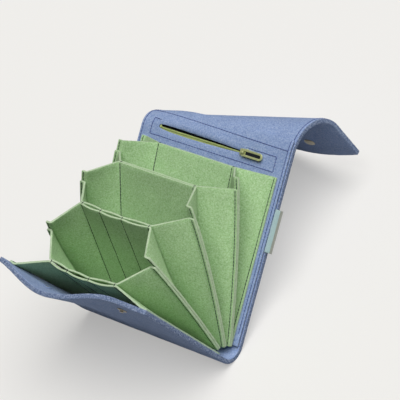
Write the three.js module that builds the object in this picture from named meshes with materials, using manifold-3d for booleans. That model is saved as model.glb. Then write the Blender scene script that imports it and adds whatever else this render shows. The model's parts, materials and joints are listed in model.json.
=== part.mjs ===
// Knitting needle bag: a folded felt cover with a long flap, an accordion of felt dividers and a zip pocket.
// Millimetres, +Z up. The bag stands open on its bottom fold and on one corner of the flap thrown back behind it.
import * as THREE from 'three';
import { mergeVertices } from 'three/addons/utils/BufferGeometryUtils.js';
import Module from 'manifold-3d';

const wasm = await Module();
wasm.setup();

const radians = THREE.MathUtils.degToRad;

// Felt and seams
const COVER_FELT = 5;
const DIVIDER_FELT = 2;
const POCKET_FELT = 2;
const SEAM_GAP = 0.4;

// Cover: its width, and its length up the back from the fold to the end of the flap
const COVER_WIDTH = 198;
const COVER_LENGTH = 340;
const FOLD_RADIUS = 16;
const SPINE_ARC = radians(70);

// Front panel: its lean from the back panel, its height and the outward bow of its top edge.
// The middle and the reach of the bow are shares of half the cover's width.
const FRONT_ANGLE = radians(74);
const FRONT_HEIGHT = 152;
const FRONT_BOW = 19;
const BOW_MIDDLE = -0.3;
const BOW_REACH = 0.85;
const FRONT_CLEARANCE = 1.5;

// Dividers, from the rear one to the front one: their leans from the back panel, stepped heights and inner seams
const DIVIDER_ANGLES = [6, 24, 46, 70].map(radians);
const REAR_DIVIDER_HEIGHT = 180;
const HEIGHT_STEP = 12;
const DIVIDER_LIFT = 2;
const SEAM_SPACINGS = [106, 105, 96, 92];
const GUSSET_WIDTH = 40;
const POCKET_MARGIN = 0.6;
const WING_MARGIN = 7;

// Roll of the flap: where it starts on the centre line, its slant, radius, total turn and soft middle stretch.
// Towards the right edge the roll grows wider and turns further, towards the left edge it is tighter.
const ROLL_START = 199.3;
const ROLL_SLANT = radians(5.2);
const ROLL_RADIUS = 27.8;
const ROLL_WIDENING = 13.7;
const ROLL_ANGLE = radians(101.2);
const ROLL_TWIST = radians(16.6);
const BEND_START = 10;
const BEND_END = 47;
const JOIN_GAP = 0.3;
const ROLL_ROWS = 4;

// Zip pocket on the inner face of the back panel
const POCKET_BOTTOM = 14;
const POCKET_TOP = 220;
const ZIP_HEIGHT = 194.5;
const ZIP_LEFT = -75;
const ZIP_RIGHT = 54;
const ZIP_SLOT_WIDTH = 9;
const TAPE_WIDTH = 10;
const TAPE_THICKNESS = 0.8;
const TAPE_OVERHANG = 6;
const COIL_WIDTH = 1.6;
const COIL_HEIGHT = 1.2;
const SLIDER_LENGTH = 10;
const SLIDER_WIDTH = 9;
const SLIDER_PLATE = 1.5;
const SLIDER_WALL = 1;
const SLIDER_REST = 43;
const BRIDGE_WIDTH = 2;
const BRIDGE_THICKNESS = 1;
const PULL_LENGTH = 26;
const PULL_WIDTH = 8;
const PULL_THICKNESS = 1.4;
const PULL_RIM = 1.5;
const PULL_BAR = 1.4;
const STOP_LENGTH = 2;

// Snap fasteners: a pair on the flap that closes over a pair on the front panel
const SNAP_SPACING = 100;
const SNAP_FROM_END = 30;
const STUD_HEIGHT = 124;
const CAP_RADIUS = 6.2;
const CAP_DOME = 1.6;
const RIVET_RADIUS = 1.9;
const RIVET_CLEARANCE = 0.3;
const SOCKET_RADIUS = 5;
const SOCKET_HEIGHT = 2.4;
const STUD_NECK = 1.8;
const STUD_HEAD = 2.4;

// Woven label sewn into the right edge of the back panel
const LABEL_LOW = 104;
const LABEL_LENGTH = 45;
const LABEL_TUCK = 9;
const LABEL_SHOW = 6;
const LABEL_THICKNESS = 0.8;

const coverHalf = COVER_WIDTH / 2;
const pocketHalf = coverHalf - POCKET_MARGIN;
const greenHalf = coverHalf - WING_MARGIN;
const pairThickness = 2 * DIVIDER_FELT + SEAM_GAP;
const pitch = pairThickness + SEAM_GAP;
const sheetOffset = (DIVIDER_FELT + SEAM_GAP) / 2;
const gussetGap = DIVIDER_FELT / 2 + SEAM_GAP;
const tapeLift = JOIN_GAP;
const pocketLift = 2 * JOIN_GAP + TAPE_THICKNESS;
const pocketFace = pocketLift + POCKET_FELT;

const blueFelt = new THREE.MeshStandardMaterial({ color: 0x7686b4, roughness: 0.95, metalness: 0 });
const greenFelt = new THREE.MeshStandardMaterial({ color: 0x86b279, roughness: 0.95, metalness: 0 });
const zipTape = new THREE.MeshStandardMaterial({ color: 0x8a9440, roughness: 0.8, metalness: 0 });
const zipMetal = new THREE.MeshStandardMaterial({ color: 0xb5bd62, roughness: 0.4, metalness: 0.7 });
const snapMetal = new THREE.MeshStandardMaterial({ color: 0x8e8c7c, roughness: 0.35, metalness: 0.9 });
const labelCloth = new THREE.MeshStandardMaterial({ color: 0xb9c3c6, roughness: 0.9, metalness: 0 });

// The bag's own frame: x across, y behind the back panel, z up the back panel from the fold.
// In its cross-section, a runs up the back panel and f runs from its inner face towards the front panel.
const spot = (x, a, f) => new THREE.Vector3(x, -f, a);

// A closed sheet between two offsets of surface(u, v, offset), on a grid of columns and rows
function sheetSolid(surface, columns, rows, low, high) {
  const stride = columns + 1;
  const layer = stride * (rows + 1);
  const positions = [];
  for (const offset of [low, high]) {
    for (let row = 0; row <= rows; row += 1) {
      for (let column = 0; column <= columns; column += 1) {
        positions.push(...surface(column / columns, row / rows, offset).toArray());
      }
    }
  }
  const triangles = [];
  const quad = (p, q, r, s) => triangles.push(p, q, r, p, r, s);
  for (let row = 0; row < rows; row += 1) {
    for (let column = 0; column < columns; column += 1) {
      const k = row * stride + column;
      quad(k, k + stride, k + stride + 1, k + 1);
      quad(layer + k, layer + k + 1, layer + k + stride + 1, layer + k + stride);
    }
  }
  const top = rows * stride;
  for (let column = 0; column < columns; column += 1) {
    quad(column, column + 1, layer + column + 1, layer + column);
    quad(top + column, layer + top + column, layer + top + column + 1, top + column + 1);
  }
  for (let row = 0; row < rows; row += 1) {
    const k = row * stride;
    quad(k + stride, k, layer + k, layer + k + stride);
    quad(k + columns, k + columns + stride, layer + k + columns + stride, layer + k + columns);
  }
  const geometry = new THREE.BufferGeometry();
  geometry.setAttribute('position', new THREE.Float32BufferAttribute(positions, 3));
  geometry.setIndex(signedVolume(positions, triangles) < 0 ? triangles.reverse() : triangles);
  geometry.computeVertexNormals();
  return geometry;
}

function signedVolume(positions, triangles) {
  const corner = index => new THREE.Vector3().fromArray(positions, 3 * index);
  let volume = 0;
  for (let k = 0; k < triangles.length; k += 3) {
    const [p, q, r] = triangles.slice(k, k + 3).map(corner);
    volume += p.dot(q.cross(r)) / 6;
  }
  return volume;
}

// Unit normal of a surface given by two parameters, from its neighbours
function normalAt(surface, u, v, step) {
  const across = surface(u + step, v).sub(surface(u - step, v));
  const along = surface(u, v + step).sub(surface(u, v - step));
  return across.cross(along).normalize();
}

const lerp = THREE.MathUtils.lerp;

function solidOf(geometry) {
  const bare = geometry.clone();
  bare.deleteAttribute('normal');
  bare.deleteAttribute('uv');
  const merged = mergeVertices(bare, 1e-5);
  return new wasm.Manifold(new wasm.Mesh({
    numProp: 3,
    vertProperties: new Float32Array(merged.attributes.position.array),
    triVerts: new Uint32Array(merged.index.array),
  }));
}

function geometryOf(solid) {
  const mesh = solid.getMesh();
  const geometry = new THREE.BufferGeometry();
  geometry.setAttribute('position', new THREE.BufferAttribute(mesh.vertProperties, 3));
  geometry.setIndex(new THREE.BufferAttribute(mesh.triVerts, 1));
  geometry.computeVertexNormals();
  return geometry;
}

function cut(geometry, cutters) {
  return geometryOf(cutters.reduce((solid, cutter) => solid.subtract(solidOf(cutter)), solidOf(geometry)));
}

const bag = new THREE.Group();

function add(parent, name, geometry, material) {
  const mesh = new THREE.Mesh(geometry, material);
  mesh.name = name;
  parent.add(mesh);
  return mesh;
}

// The cover's inner face, flat up the back and rolled backwards past a slanted line; lift rises from that face
const longestRoll = (ROLL_RADIUS + ROLL_WIDENING) * (ROLL_ANGLE + ROLL_TWIST);
const slantCos = Math.cos(ROLL_SLANT);
const slantSin = Math.sin(ROLL_SLANT);

function rolled(x, s, lift = 0) {
  const radius = ROLL_RADIUS + ROLL_WIDENING * x / coverHalf;
  const angle = ROLL_ANGLE + ROLL_TWIST * x / coverHalf;
  const along = x * slantCos + (s - ROLL_START) * slantSin;
  const across = (s - ROLL_START) * slantCos - x * slantSin;
  const turn = THREE.MathUtils.clamp(across / radius, 0, angle);
  const before = Math.min(across, 0);
  const after = Math.max(across - radius * angle, 0);
  const up = before + (radius + lift) * Math.sin(turn) + after * Math.cos(angle);
  const behind = radius - (radius + lift) * Math.cos(turn) + after * Math.sin(angle);
  return new THREE.Vector3(
    along * slantCos - up * slantSin,
    behind,
    ROLL_START + along * slantSin + up * slantCos,
  );
}

// Height up the sheet where a line parallel to the roll, this far past its start, crosses x
const rollLine = (x, across) => ROLL_START + (across + x * slantSin) / slantCos;

// A stretch of the rolled sheet from one edge over spans of rows; each edge is a height for every x
function rolledSheet(half, start, spans, columns, low, high) {
  const lines = [start];
  for (const [edge, rows] of spans) {
    const from = lines[lines.length - 1];
    for (let row = 1; row <= rows; row += 1) {
      lines.push(x => lerp(from(x), edge(x), row / rows));
    }
  }
  const rows = lines.length - 1;
  return sheetSolid((u, v, lift) => {
    const x = lerp(-half, half, u);
    return rolled(x, lines[Math.round(v * rows)](x), lift);
  }, columns, rows, low, high);
}

// A frame on a surface: its z along the surface's normal, its x along the bag's width
function seat(surface, x, s) {
  const step = 0.01;
  const z = normalAt(surface, x, s, step);
  const xAxis = surface(x + step, s).sub(surface(x - step, s)).normalize();
  const group = new THREE.Group();
  group.setRotationFromMatrix(new THREE.Matrix4().makeBasis(xAxis, z.clone().cross(xAxis), z));
  group.position.copy(surface(x, s));
  return group;
}

// Bases of the dividers and of the front panel, stacked along the bottom so that they shut flat on each other
const upward = angle => ({ a: Math.cos(angle), f: Math.sin(angle) });
const outward = angle => ({ a: -Math.sin(angle), f: Math.cos(angle) });
const step = (from, direction, distance) => ({
  a: from.a + direction.a * distance,
  f: from.f + direction.f * distance,
});

let base = { a: 0, f: pocketFace + SEAM_GAP + pairThickness / 2 };
const dividers = DIVIDER_ANGLES.map((angle, k) => {
  const divider = {
    name: `divider_${DIVIDER_ANGLES.length - k}`,
    short: DIVIDER_ANGLES.length - k,
    angle,
    height: REAR_DIVIDER_HEIGHT - k * HEIGHT_STEP,
    width: SEAM_SPACINGS[k],
    base,
  };
  base = step(base, outward(angle), pitch);
  return divider;
});
const rearDivider = dividers[0];
const frontDivider = dividers[dividers.length - 1];
const frontOffset = pairThickness / 2 + FRONT_CLEARANCE + COVER_FELT / 2;
const frontBase = step(frontDivider.base, outward(frontDivider.angle), frontOffset);

// Fold: an arc tangent to the middle of the back panel and to the middle of the front panel
const backMiddle = -COVER_FELT / 2;
const cornerDrop = (frontBase.f - backMiddle) / Math.sin(FRONT_ANGLE);
const corner = step(frontBase, upward(FRONT_ANGLE), -cornerDrop);
const tangentLength = FOLD_RADIUS / Math.tan(FRONT_ANGLE / 2);
const foldCentre = { a: corner.a + tangentLength, f: backMiddle + FOLD_RADIUS };
const foldArc = Math.PI - FRONT_ANGLE;
const frontStart = tangentLength - cornerDrop;

function foldSheet(from, to, steps) {
  return sheetSolid((u, v, offset) => {
    const turn = lerp(from, to, v);
    const place = step(foldCentre, { a: -Math.sin(turn), f: -Math.cos(turn) }, FOLD_RADIUS + offset);
    return spot(lerp(-coverHalf, coverHalf, u), place.a, place.f);
  }, 1, steps, -COVER_FELT / 2, COVER_FELT / 2);
}

// Middle of the front panel; lift is positive outwards
function frontSurface(x, r, lift = 0) {
  const away = Math.min(Math.abs(x / coverHalf - BOW_MIDDLE) / BOW_REACH, 1);
  const rise = Math.max(r, 0) / FRONT_HEIGHT;
  const bow = FRONT_BOW * Math.cos(away * Math.PI / 2) ** 2 * rise ** 2;
  const foot = step(frontBase, upward(FRONT_ANGLE), r);
  const place = step(foot, outward(FRONT_ANGLE), bow + lift);
  return spot(x, place.a, place.f);
}

// Round metal pieces turned about z
function turned(outline, sides = 20) {
  const geometry = new THREE.LatheGeometry(outline.map(([r, z]) => new THREE.Vector2(r, z)), sides);
  geometry.rotateX(Math.PI / 2);
  return geometry;
}

const rivetHole = RIVET_RADIUS + RIVET_CLEARANCE;
const cutterLength = 4 * COVER_FELT;

function holeCutter(surface, x, s) {
  const place = seat(surface, x, s);
  place.updateMatrix();
  const cutter = new THREE.CylinderGeometry(rivetHole, rivetHole, cutterLength, 16);
  cutter.rotateX(Math.PI / 2);
  return cutter.applyMatrix4(place.matrix);
}

const snapSides = [['left', -SNAP_SPACING / 2], ['right', SNAP_SPACING / 2]];
const sides = [['left', -1], ['right', 1]];

// Back panel, spine and flap
const coverBack = rolledSheet(
  coverHalf, () => foldCentre.a + JOIN_GAP,
  [[x => rollLine(x, 0), 1], [x => rollLine(x, BEND_START), ROLL_ROWS]], 8, -COVER_FELT, 0,
);
add(bag, 'cover_back', coverBack, blueFelt);
add(bag, 'cover_spine', foldSheet(0, SPINE_ARC, 10), blueFelt);

// The flap turns about the line where its rolled end and its flattened end fall together
const bendTurn = (BEND_END - BEND_START) / ROLL_RADIUS;
const bendChord = { up: ROLL_RADIUS * Math.sin(bendTurn), behind: ROLL_RADIUS * (1 - Math.cos(bendTurn)) };
const flatShift = { up: bendTurn * ROLL_RADIUS - bendChord.up, behind: bendChord.behind };
const halfTan = Math.tan(bendTurn / 2);
const pole = {
  up: (flatShift.up + flatShift.behind / halfTan) / 2,
  behind: (flatShift.behind - flatShift.up / halfTan) / 2,
};
const bendFoot = rolled(0, rollLine(0, BEND_START));
const startTurn = BEND_START / ROLL_RADIUS;
const flapPivot = new THREE.Group();
flapPivot.name = 'flap_hinge';
const poleUp = pole.up * Math.cos(startTurn) - pole.behind * Math.sin(startTurn);
const poleBehind = pole.up * Math.sin(startTurn) + pole.behind * Math.cos(startTurn);
flapPivot.position.copy(bendFoot).add(new THREE.Vector3(-poleUp * slantSin, poleBehind, poleUp * slantCos));
flapPivot.rotation.y = -ROLL_SLANT;
bag.add(flapPivot);

const flapBend = rolledSheet(
  coverHalf, x => rollLine(x, BEND_START) + JOIN_GAP, [[x => rollLine(x, BEND_END), 3 * ROLL_ROWS]],
  8, -COVER_FELT, 0,
);
add(bag, 'flap_bend', flapBend, blueFelt);

const snapHeight = COVER_LENGTH - SNAP_FROM_END;
const flapSheet = rolledSheet(
  coverHalf, x => rollLine(x, BEND_END) + JOIN_GAP,
  [[x => rollLine(x, longestRoll), ROLL_ROWS], [() => COVER_LENGTH, ROLL_ROWS]], 12, -COVER_FELT, 0,
);
const flapGeometry = cut(flapSheet, snapSides.map(([, x]) => holeCutter(rolled, x, snapHeight)));
add(bag, 'flap', flapGeometry, blueFelt);

// Front panel and the stretch of the fold that bends as it shuts
const frontGeometry = cut(
  sheetSolid((u, v, lift) => frontSurface(
    lerp(-coverHalf, coverHalf, u), lerp(frontStart + JOIN_GAP, FRONT_HEIGHT, v), lift,
  ), 14, 8, -COVER_FELT / 2, COVER_FELT / 2),
  snapSides.map(([, x]) => holeCutter(frontSurface, x, STUD_HEIGHT)),
);
add(bag, 'cover_front', frontGeometry, blueFelt);
const spineJoin = JOIN_GAP / FOLD_RADIUS;
add(bag, 'cover_front_fold', foldSheet(SPINE_ARC + spineJoin, foldArc, 5), blueFelt);

// The front panel turns about a line that brings it flat against the shut dividers
const shutMiddle = rearDivider.base.f + (dividers.length - 1) * pitch + frontOffset;
const hingeDepth = (shutMiddle + backMiddle) / 2;
const frontNormal = outward(FRONT_ANGLE);
const hingeReach = shutMiddle - hingeDepth;
const hingeRise = frontBase.a
  + (frontNormal.f * (frontBase.f - hingeDepth) - hingeReach) / frontNormal.a;
const frontPivot = new THREE.Group();
frontPivot.name = 'front_hinge';
frontPivot.position.copy(spot(0, hingeRise, hingeDepth));
bag.add(frontPivot);

// Dividers: two sheets each, sewn together along the lines where their gussets start
for (const divider of dividers) {
  const group = new THREE.Group();
  group.name = `${divider.name}_hinge`;
  group.position.copy(spot(0, divider.base.a, divider.base.f));
  group.rotation.x = divider.angle;
  const tall = divider.height - DIVIDER_LIFT;
  for (const [face, sign] of [['front', -1], ['rear', 1]]) {
    const sheet = new THREE.BoxGeometry(divider.width, DIVIDER_FELT, tall);
    const mesh = add(group, `${divider.name}_${face}_sheet`, sheet, greenFelt);
    mesh.position.set(0, sign * sheetOffset, DIVIDER_LIFT + tall / 2);
  }
  bag.add(group);
}

// Line where a gusset starts on one sheet of a divider, at distance r from the fold
function seamLine(divider, towardsFront, side, r) {
  const foot = step(divider.base, upward(divider.angle), r);
  const place = step(foot, outward(divider.angle), towardsFront ? sheetOffset : -sheetOffset);
  return spot(side * (divider.width / 2 + gussetGap), place.a, place.f);
}

// A gusset: one side wing of a divider sheet, ruled from its seam to the edge where it is sewn on
function addGusset(name, startLine, edgeLine, height) {
  const middle = (u, v) => {
    const r = lerp(DIVIDER_LIFT, height, v);
    return startLine(r).lerp(edgeLine(r), u);
  };
  const surface = (u, v, offset) => middle(u, v).addScaledVector(normalAt(middle, u, v, 1e-3), offset);
  add(bag, name, sheetSolid(surface, 3, 8, -DIVIDER_FELT / 2, DIVIDER_FELT / 2), greenFelt);
}

for (const [sideName, side] of sides) {
  // Between two dividers, the facing wings meet in a tip that sticks out less where the dividers spread
  for (let k = 0; k + 1 < dividers.length; k += 1) {
    const rear = dividers[k];
    const front = dividers[k + 1];
    const rearSeam = r => seamLine(rear, true, side, r);
    const frontSeam = r => seamLine(front, false, side, r);
    const tip = (r, sign) => {
      const spread = rearSeam(r).sub(frontSeam(r)).setX(0);
      const reach = Math.sqrt(GUSSET_WIDTH ** 2 - spread.lengthSq() / 4);
      const middle = rearSeam(r).lerp(frontSeam(r), 0.5);
      middle.x += side * reach;
      return middle.addScaledVector(spread.normalize(), sign * sheetOffset);
    };
    addGusset(`gusset_${rear.short}_front_${sideName}`, rearSeam, r => tip(r, 1), rear.height);
    addGusset(`gusset_${front.short}_rear_${sideName}`, frontSeam, r => tip(r, -1), front.height);
  }
  // The outermost wings are sewn to the zip pocket's panel and to the front panel
  const onPocket = r => rolled(side * greenHalf, r, pocketFace + SEAM_GAP + DIVIDER_FELT / 2);
  const onFront = r => frontSurface(side * greenHalf, r, -(COVER_FELT / 2 + SEAM_GAP + DIVIDER_FELT / 2));
  const rearWing = r => seamLine(rearDivider, false, side, r);
  const frontWing = r => seamLine(frontDivider, true, side, r);
  addGusset(`gusset_${rearDivider.short}_rear_${sideName}`, rearWing, onPocket, rearDivider.height);
  addGusset(`gusset_${frontDivider.short}_front_${sideName}`, frontWing, onFront, frontDivider.height);
}

// Zip pocket: a felt panel with a slot, two tapes behind it, their coils, stops, slider and pull
const slotMiddle = (ZIP_LEFT + ZIP_RIGHT) / 2;
const slotReach = (ZIP_RIGHT - ZIP_LEFT) / 2;
const slotRadius = ZIP_SLOT_WIDTH / 2;
const onZip = (x, s) => rolled(x, ZIP_HEIGHT + s);

function slotCutter() {
  const outline = new THREE.Shape();
  outline.absarc(slotReach - slotRadius, 0, slotRadius, -Math.PI / 2, Math.PI / 2);
  outline.absarc(slotRadius - slotReach, 0, slotRadius, Math.PI / 2, 3 * Math.PI / 2);
  const depth = 2 * (pocketFace + ZIP_SLOT_WIDTH);
  const cutter = new THREE.ExtrudeGeometry(outline, { depth, bevelEnabled: false, curveSegments: 8 });
  cutter.translate(0, 0, -depth / 2);
  const place = seat(onZip, slotMiddle, 0);
  place.updateMatrix();
  return cutter.applyMatrix4(place.matrix);
}

const pocketPanel = rolledSheet(
  pocketHalf, () => POCKET_BOTTOM, [[x => rollLine(x, 0), 1], [() => POCKET_TOP, 3 * ROLL_ROWS]],
  12, pocketLift, pocketFace,
);
add(bag, 'zip_pocket_panel', cut(pocketPanel, [slotCutter()]), blueFelt);

const zipEnds = [ZIP_LEFT - TAPE_OVERHANG, ZIP_RIGHT + TAPE_OVERHANG];
const zipStrip = ([left, right], near, far, low, high) => sheetSolid(
  (u, v, lift) => rolled(lerp(left, right, u), ZIP_HEIGHT + lerp(near, far, v), lift),
  16, ROLL_ROWS, low, high,
);
const coilLow = tapeLift + TAPE_THICKNESS + JOIN_GAP;
const coilTop = coilLow + COIL_HEIGHT;
const stopHalf = COIL_WIDTH + JOIN_GAP;
const slotEndRoom = slotRadius - Math.sqrt(slotRadius ** 2 - (stopHalf + JOIN_GAP) ** 2) + JOIN_GAP;
const stopStarts = [ZIP_LEFT + slotEndRoom, ZIP_RIGHT - slotEndRoom - STOP_LENGTH];
const coilEnds = [stopStarts[0] + STOP_LENGTH + JOIN_GAP, stopStarts[1] - JOIN_GAP];
const tapeTop = tapeLift + TAPE_THICKNESS;
for (const [name, sign] of [['lower', -1], ['upper', 1]]) {
  const near = sign * JOIN_GAP / 2;
  add(bag, `zip_tape_${name}`, zipStrip(zipEnds, near, sign * TAPE_WIDTH, tapeLift, tapeTop), zipTape);
  const coilFar = near + sign * COIL_WIDTH;
  add(bag, `zip_coil_${name}`, zipStrip(coilEnds, near, coilFar, coilLow, coilTop), zipTape);
}
for (const [name, left] of [['left', stopStarts[0]], ['right', stopStarts[1]]]) {
  const stop = zipStrip([left, left + STOP_LENGTH], -stopHalf, stopHalf, coilLow, coilTop);
  add(bag, `zip_stop_${name}`, stop, zipMetal);
}

// Slider: a plate above the panel, a neck through the slot and two walls beside the coils
const slider = seat(onZip, SLIDER_REST, 0);
slider.name = 'zip_slide';
bag.add(slider);
const plateLow = pocketFace + JOIN_GAP;
const plateTop = plateLow + SLIDER_PLATE;
const neckLow = coilTop + JOIN_GAP;
const wallInner = COIL_WIDTH + 3 * JOIN_GAP;
const wallOuter = wallInner + SLIDER_WALL;

function block(length, width, low, high, x = 0, y = 0) {
  return new THREE.BoxGeometry(length, width, high - low).translate(x, y, (low + high) / 2);
}

// A bridge on the plate holds the end bar of the pull, with room for it to turn
const pullPlay = Math.hypot(PULL_THICKNESS, PULL_BAR) / 2 + JOIN_GAP;
const barHeight = plateTop + pullPlay;
const bridgeLow = barHeight + pullPlay;
const bridgeReach = pullPlay + BRIDGE_THICKNESS;
const neckLength = SLIDER_LENGTH - 2 * SLIDER_WALL;
const plateMiddle = (plateLow + plateTop) / 2;
const sliderBlocks = [
  block(SLIDER_LENGTH, SLIDER_WIDTH, plateLow, plateTop),
  block(neckLength, 2 * wallOuter, neckLow, plateMiddle),
  block(2 * bridgeReach, BRIDGE_WIDTH, bridgeLow, bridgeLow + BRIDGE_THICKNESS),
];
for (const [, sign] of sides) {
  const wallMiddle = sign * (wallInner + wallOuter) / 2;
  sliderBlocks.push(block(neckLength, SLIDER_WALL, coilLow, plateMiddle, 0, wallMiddle));
  const postMiddle = sign * (pullPlay + BRIDGE_THICKNESS / 2);
  const postTop = bridgeLow + BRIDGE_THICKNESS / 2;
  sliderBlocks.push(block(BRIDGE_THICKNESS, BRIDGE_WIDTH, plateMiddle, postTop, postMiddle));
}
const sliderSolid = sliderBlocks.map(solidOf).reduce((whole, piece) => whole.add(piece));
add(slider, 'zip_slider', geometryOf(sliderSolid), zipMetal);

// Pull: a frame whose end bar turns under the bridge, lying away from the zip
const pull = new THREE.Group();
pull.name = 'zip_pull_hinge';
pull.position.set(0, 0, barHeight);
slider.add(pull);
const pullBend = PULL_LENGTH - PULL_WIDTH / 2;
const pullOutline = new THREE.Shape();
pullOutline.moveTo(-PULL_BAR / 2, -PULL_WIDTH / 2);
pullOutline.lineTo(pullBend, -PULL_WIDTH / 2);
pullOutline.absarc(pullBend, 0, PULL_WIDTH / 2, -Math.PI / 2, Math.PI / 2);
pullOutline.lineTo(-PULL_BAR / 2, PULL_WIDTH / 2);
const windowHalf = PULL_WIDTH / 2 - PULL_RIM;
const pullWindow = new THREE.Path();
pullWindow.moveTo(PULL_BAR / 2, -windowHalf);
pullWindow.lineTo(pullBend, -windowHalf);
pullWindow.absarc(pullBend, 0, windowHalf, -Math.PI / 2, Math.PI / 2);
pullWindow.lineTo(PULL_BAR / 2, windowHalf);
pullOutline.holes.push(pullWindow);
const pullPlate = new THREE.ExtrudeGeometry(pullOutline, {
  depth: PULL_THICKNESS, bevelEnabled: false, curveSegments: 8,
});
pullPlate.translate(0, 0, -PULL_THICKNESS / 2);
add(pull, 'zip_pull', pullPlate, zipMetal);

// Snap fasteners: a domed cap riveted to its socket through the flap, a stud riveted to its plate through the front
const shank = COVER_FELT + JOIN_GAP;
const bore = RIVET_RADIUS + RIVET_CLEARANCE;
for (const [sideName, x] of snapSides) {
  const fastener = seat(rolled, x, snapHeight);
  const cap = add(fastener, `snap_cap_${sideName}`, turned([
    [0, -JOIN_GAP - CAP_DOME], [CAP_RADIUS / 2, -JOIN_GAP - 0.85 * CAP_DOME],
    [0.85 * CAP_RADIUS, -JOIN_GAP - 0.5 * CAP_DOME], [CAP_RADIUS, -JOIN_GAP - 0.1 * CAP_DOME],
    [CAP_RADIUS, -JOIN_GAP], [RIVET_RADIUS, -JOIN_GAP], [RIVET_RADIUS, shank + SOCKET_HEIGHT / 2],
    [0, shank + SOCKET_HEIGHT / 2],
  ]), snapMetal);
  cap.position.z = -COVER_FELT;
  add(fastener, `snap_socket_${sideName}`, turned([
    [bore, JOIN_GAP], [SOCKET_RADIUS, JOIN_GAP], [SOCKET_RADIUS, JOIN_GAP + 0.6 * SOCKET_HEIGHT],
    [0.8 * SOCKET_RADIUS, JOIN_GAP + SOCKET_HEIGHT], [bore, JOIN_GAP + SOCKET_HEIGHT], [bore, JOIN_GAP],
  ]), snapMetal);
  bag.add(fastener);

  const stud = seat(frontSurface, x, STUD_HEIGHT);
  const face = COVER_FELT / 2 + JOIN_GAP;
  add(stud, `snap_stud_${sideName}`, turned([
    [0, -face - CAP_DOME / 2], [RIVET_RADIUS, -face - CAP_DOME / 2], [RIVET_RADIUS, face],
    [SOCKET_RADIUS, face], [SOCKET_RADIUS, face + 0.25 * STUD_HEAD], [STUD_NECK, face + 0.4 * STUD_HEAD],
    [STUD_HEAD, face + 0.8 * STUD_HEAD], [STUD_NECK, face + STUD_HEAD], [0, face + STUD_HEAD],
  ]), snapMetal);
  add(stud, `snap_plate_${sideName}`, turned([
    [bore, -face], [bore, -face - CAP_DOME / 2], [SOCKET_RADIUS, -face - CAP_DOME / 2],
    [SOCKET_RADIUS, -face], [bore, -face],
  ]), snapMetal);
  bag.add(stud);
}

// Woven label, tucked between the pocket panel and the cover
const labelLift = (pocketLift - LABEL_THICKNESS) / 2;
const label = sheetSolid((u, v, lift) => rolled(
  lerp(greenHalf - LABEL_TUCK, coverHalf + LABEL_SHOW, u), LABEL_LOW + v * LABEL_LENGTH, lift,
), 2, 2, labelLift, labelLift + LABEL_THICKNESS);
add(bag, 'side_label', label, labelCloth);

// The lean at which the flap's lowest point rests on the surface that the fold stands on
const foldOutside = FOLD_RADIUS + COVER_FELT / 2;
const flapPoints = flapGeometry.attributes.position;
let lean = 0;
for (let k = 0; k < flapPoints.count; k += 1) {
  const a = flapPoints.getZ(k) - foldCentre.a;
  const f = -flapPoints.getY(k) - foldCentre.f;
  lean = Math.max(lean, -Math.atan2(f, a) - Math.asin(foldOutside / Math.hypot(a, f)));
}
bag.rotation.x = lean - Math.PI / 2;

// Origin under the middle of the bag, on the surface that it stands on
const needleBag = new THREE.Group();
needleBag.name = 'needle_bag';
needleBag.add(bag);
const box = new THREE.Box3().setFromObject(needleBag, true);
const middle = box.getCenter(new THREE.Vector3());
bag.position.set(-middle.x, -middle.y, -box.min.z);

export default needleBag;
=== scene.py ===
"""Felt knitting needle bag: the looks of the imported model, its floor, lights and camera."""
import json
import math

import bmesh
import bpy
from bpy.props import FloatProperty, FloatVectorProperty, IntProperty, PointerProperty
from mathutils import Matrix, Vector, noise


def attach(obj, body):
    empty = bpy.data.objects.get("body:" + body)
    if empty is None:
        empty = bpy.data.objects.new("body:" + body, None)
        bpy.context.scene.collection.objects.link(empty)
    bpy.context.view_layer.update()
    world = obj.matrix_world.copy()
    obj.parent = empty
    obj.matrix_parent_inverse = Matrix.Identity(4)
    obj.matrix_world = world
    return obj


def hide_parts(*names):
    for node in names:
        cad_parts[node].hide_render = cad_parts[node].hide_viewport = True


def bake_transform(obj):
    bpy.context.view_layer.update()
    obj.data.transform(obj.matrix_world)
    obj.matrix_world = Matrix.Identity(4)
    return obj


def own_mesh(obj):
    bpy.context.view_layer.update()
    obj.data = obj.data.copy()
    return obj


bl_info = {
    "name": "Felt needle bag",
    "version": (1, 0, 0),
    "blender": (4, 5, 0),
    "location": "View3D > Sidebar > Needle bag",
    "description": "Sews the felt cover, dividers, zip pocket and snaps of a knitting needle bag",
    "category": "Object",
}

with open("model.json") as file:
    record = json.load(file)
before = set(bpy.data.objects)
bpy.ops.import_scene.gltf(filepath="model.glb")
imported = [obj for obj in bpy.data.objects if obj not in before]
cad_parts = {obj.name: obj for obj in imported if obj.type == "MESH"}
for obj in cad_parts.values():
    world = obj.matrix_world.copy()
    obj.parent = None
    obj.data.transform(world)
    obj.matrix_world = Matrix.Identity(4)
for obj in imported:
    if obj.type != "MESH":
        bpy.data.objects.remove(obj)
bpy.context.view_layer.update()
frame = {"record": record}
RECORD = frame["record"]
JOINTS = {joint["name"]: joint for joint in RECORD["behaviour"]["joints"]}

# The felt's edges fray in the same way on every run
FRAY_SEED = 1
noise.seed_set(FRAY_SEED)

MM = 0.001
# Distance of the rear divider's hinge from the inner face of the back panel
REAR_HINGE_ROOM = 6 * MM


def frame_of(axes, origin):
    """A matrix from its three axes and its origin."""
    matrix = Matrix.Identity(4)
    for column, axis in enumerate(axes):
        matrix.col[column].xyz = axis
    matrix.translation = origin
    return matrix


def bag_matrix():
    """The bag's own frame: x along the fold, y behind the back, z up the back from the dividers' foot."""
    behind = Vector(RECORD["mounts"][0]["axis"])
    across = Vector((1, 0, 0))
    foot = Vector(JOINTS["rear_divider_hinge"]["pos_m"]) + behind * REAR_HINGE_ROOM
    return frame_of((across, behind, across.cross(behind)), foot)


BAG = bag_matrix()
SIDES = (("left", -1), ("right", 1))
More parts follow.
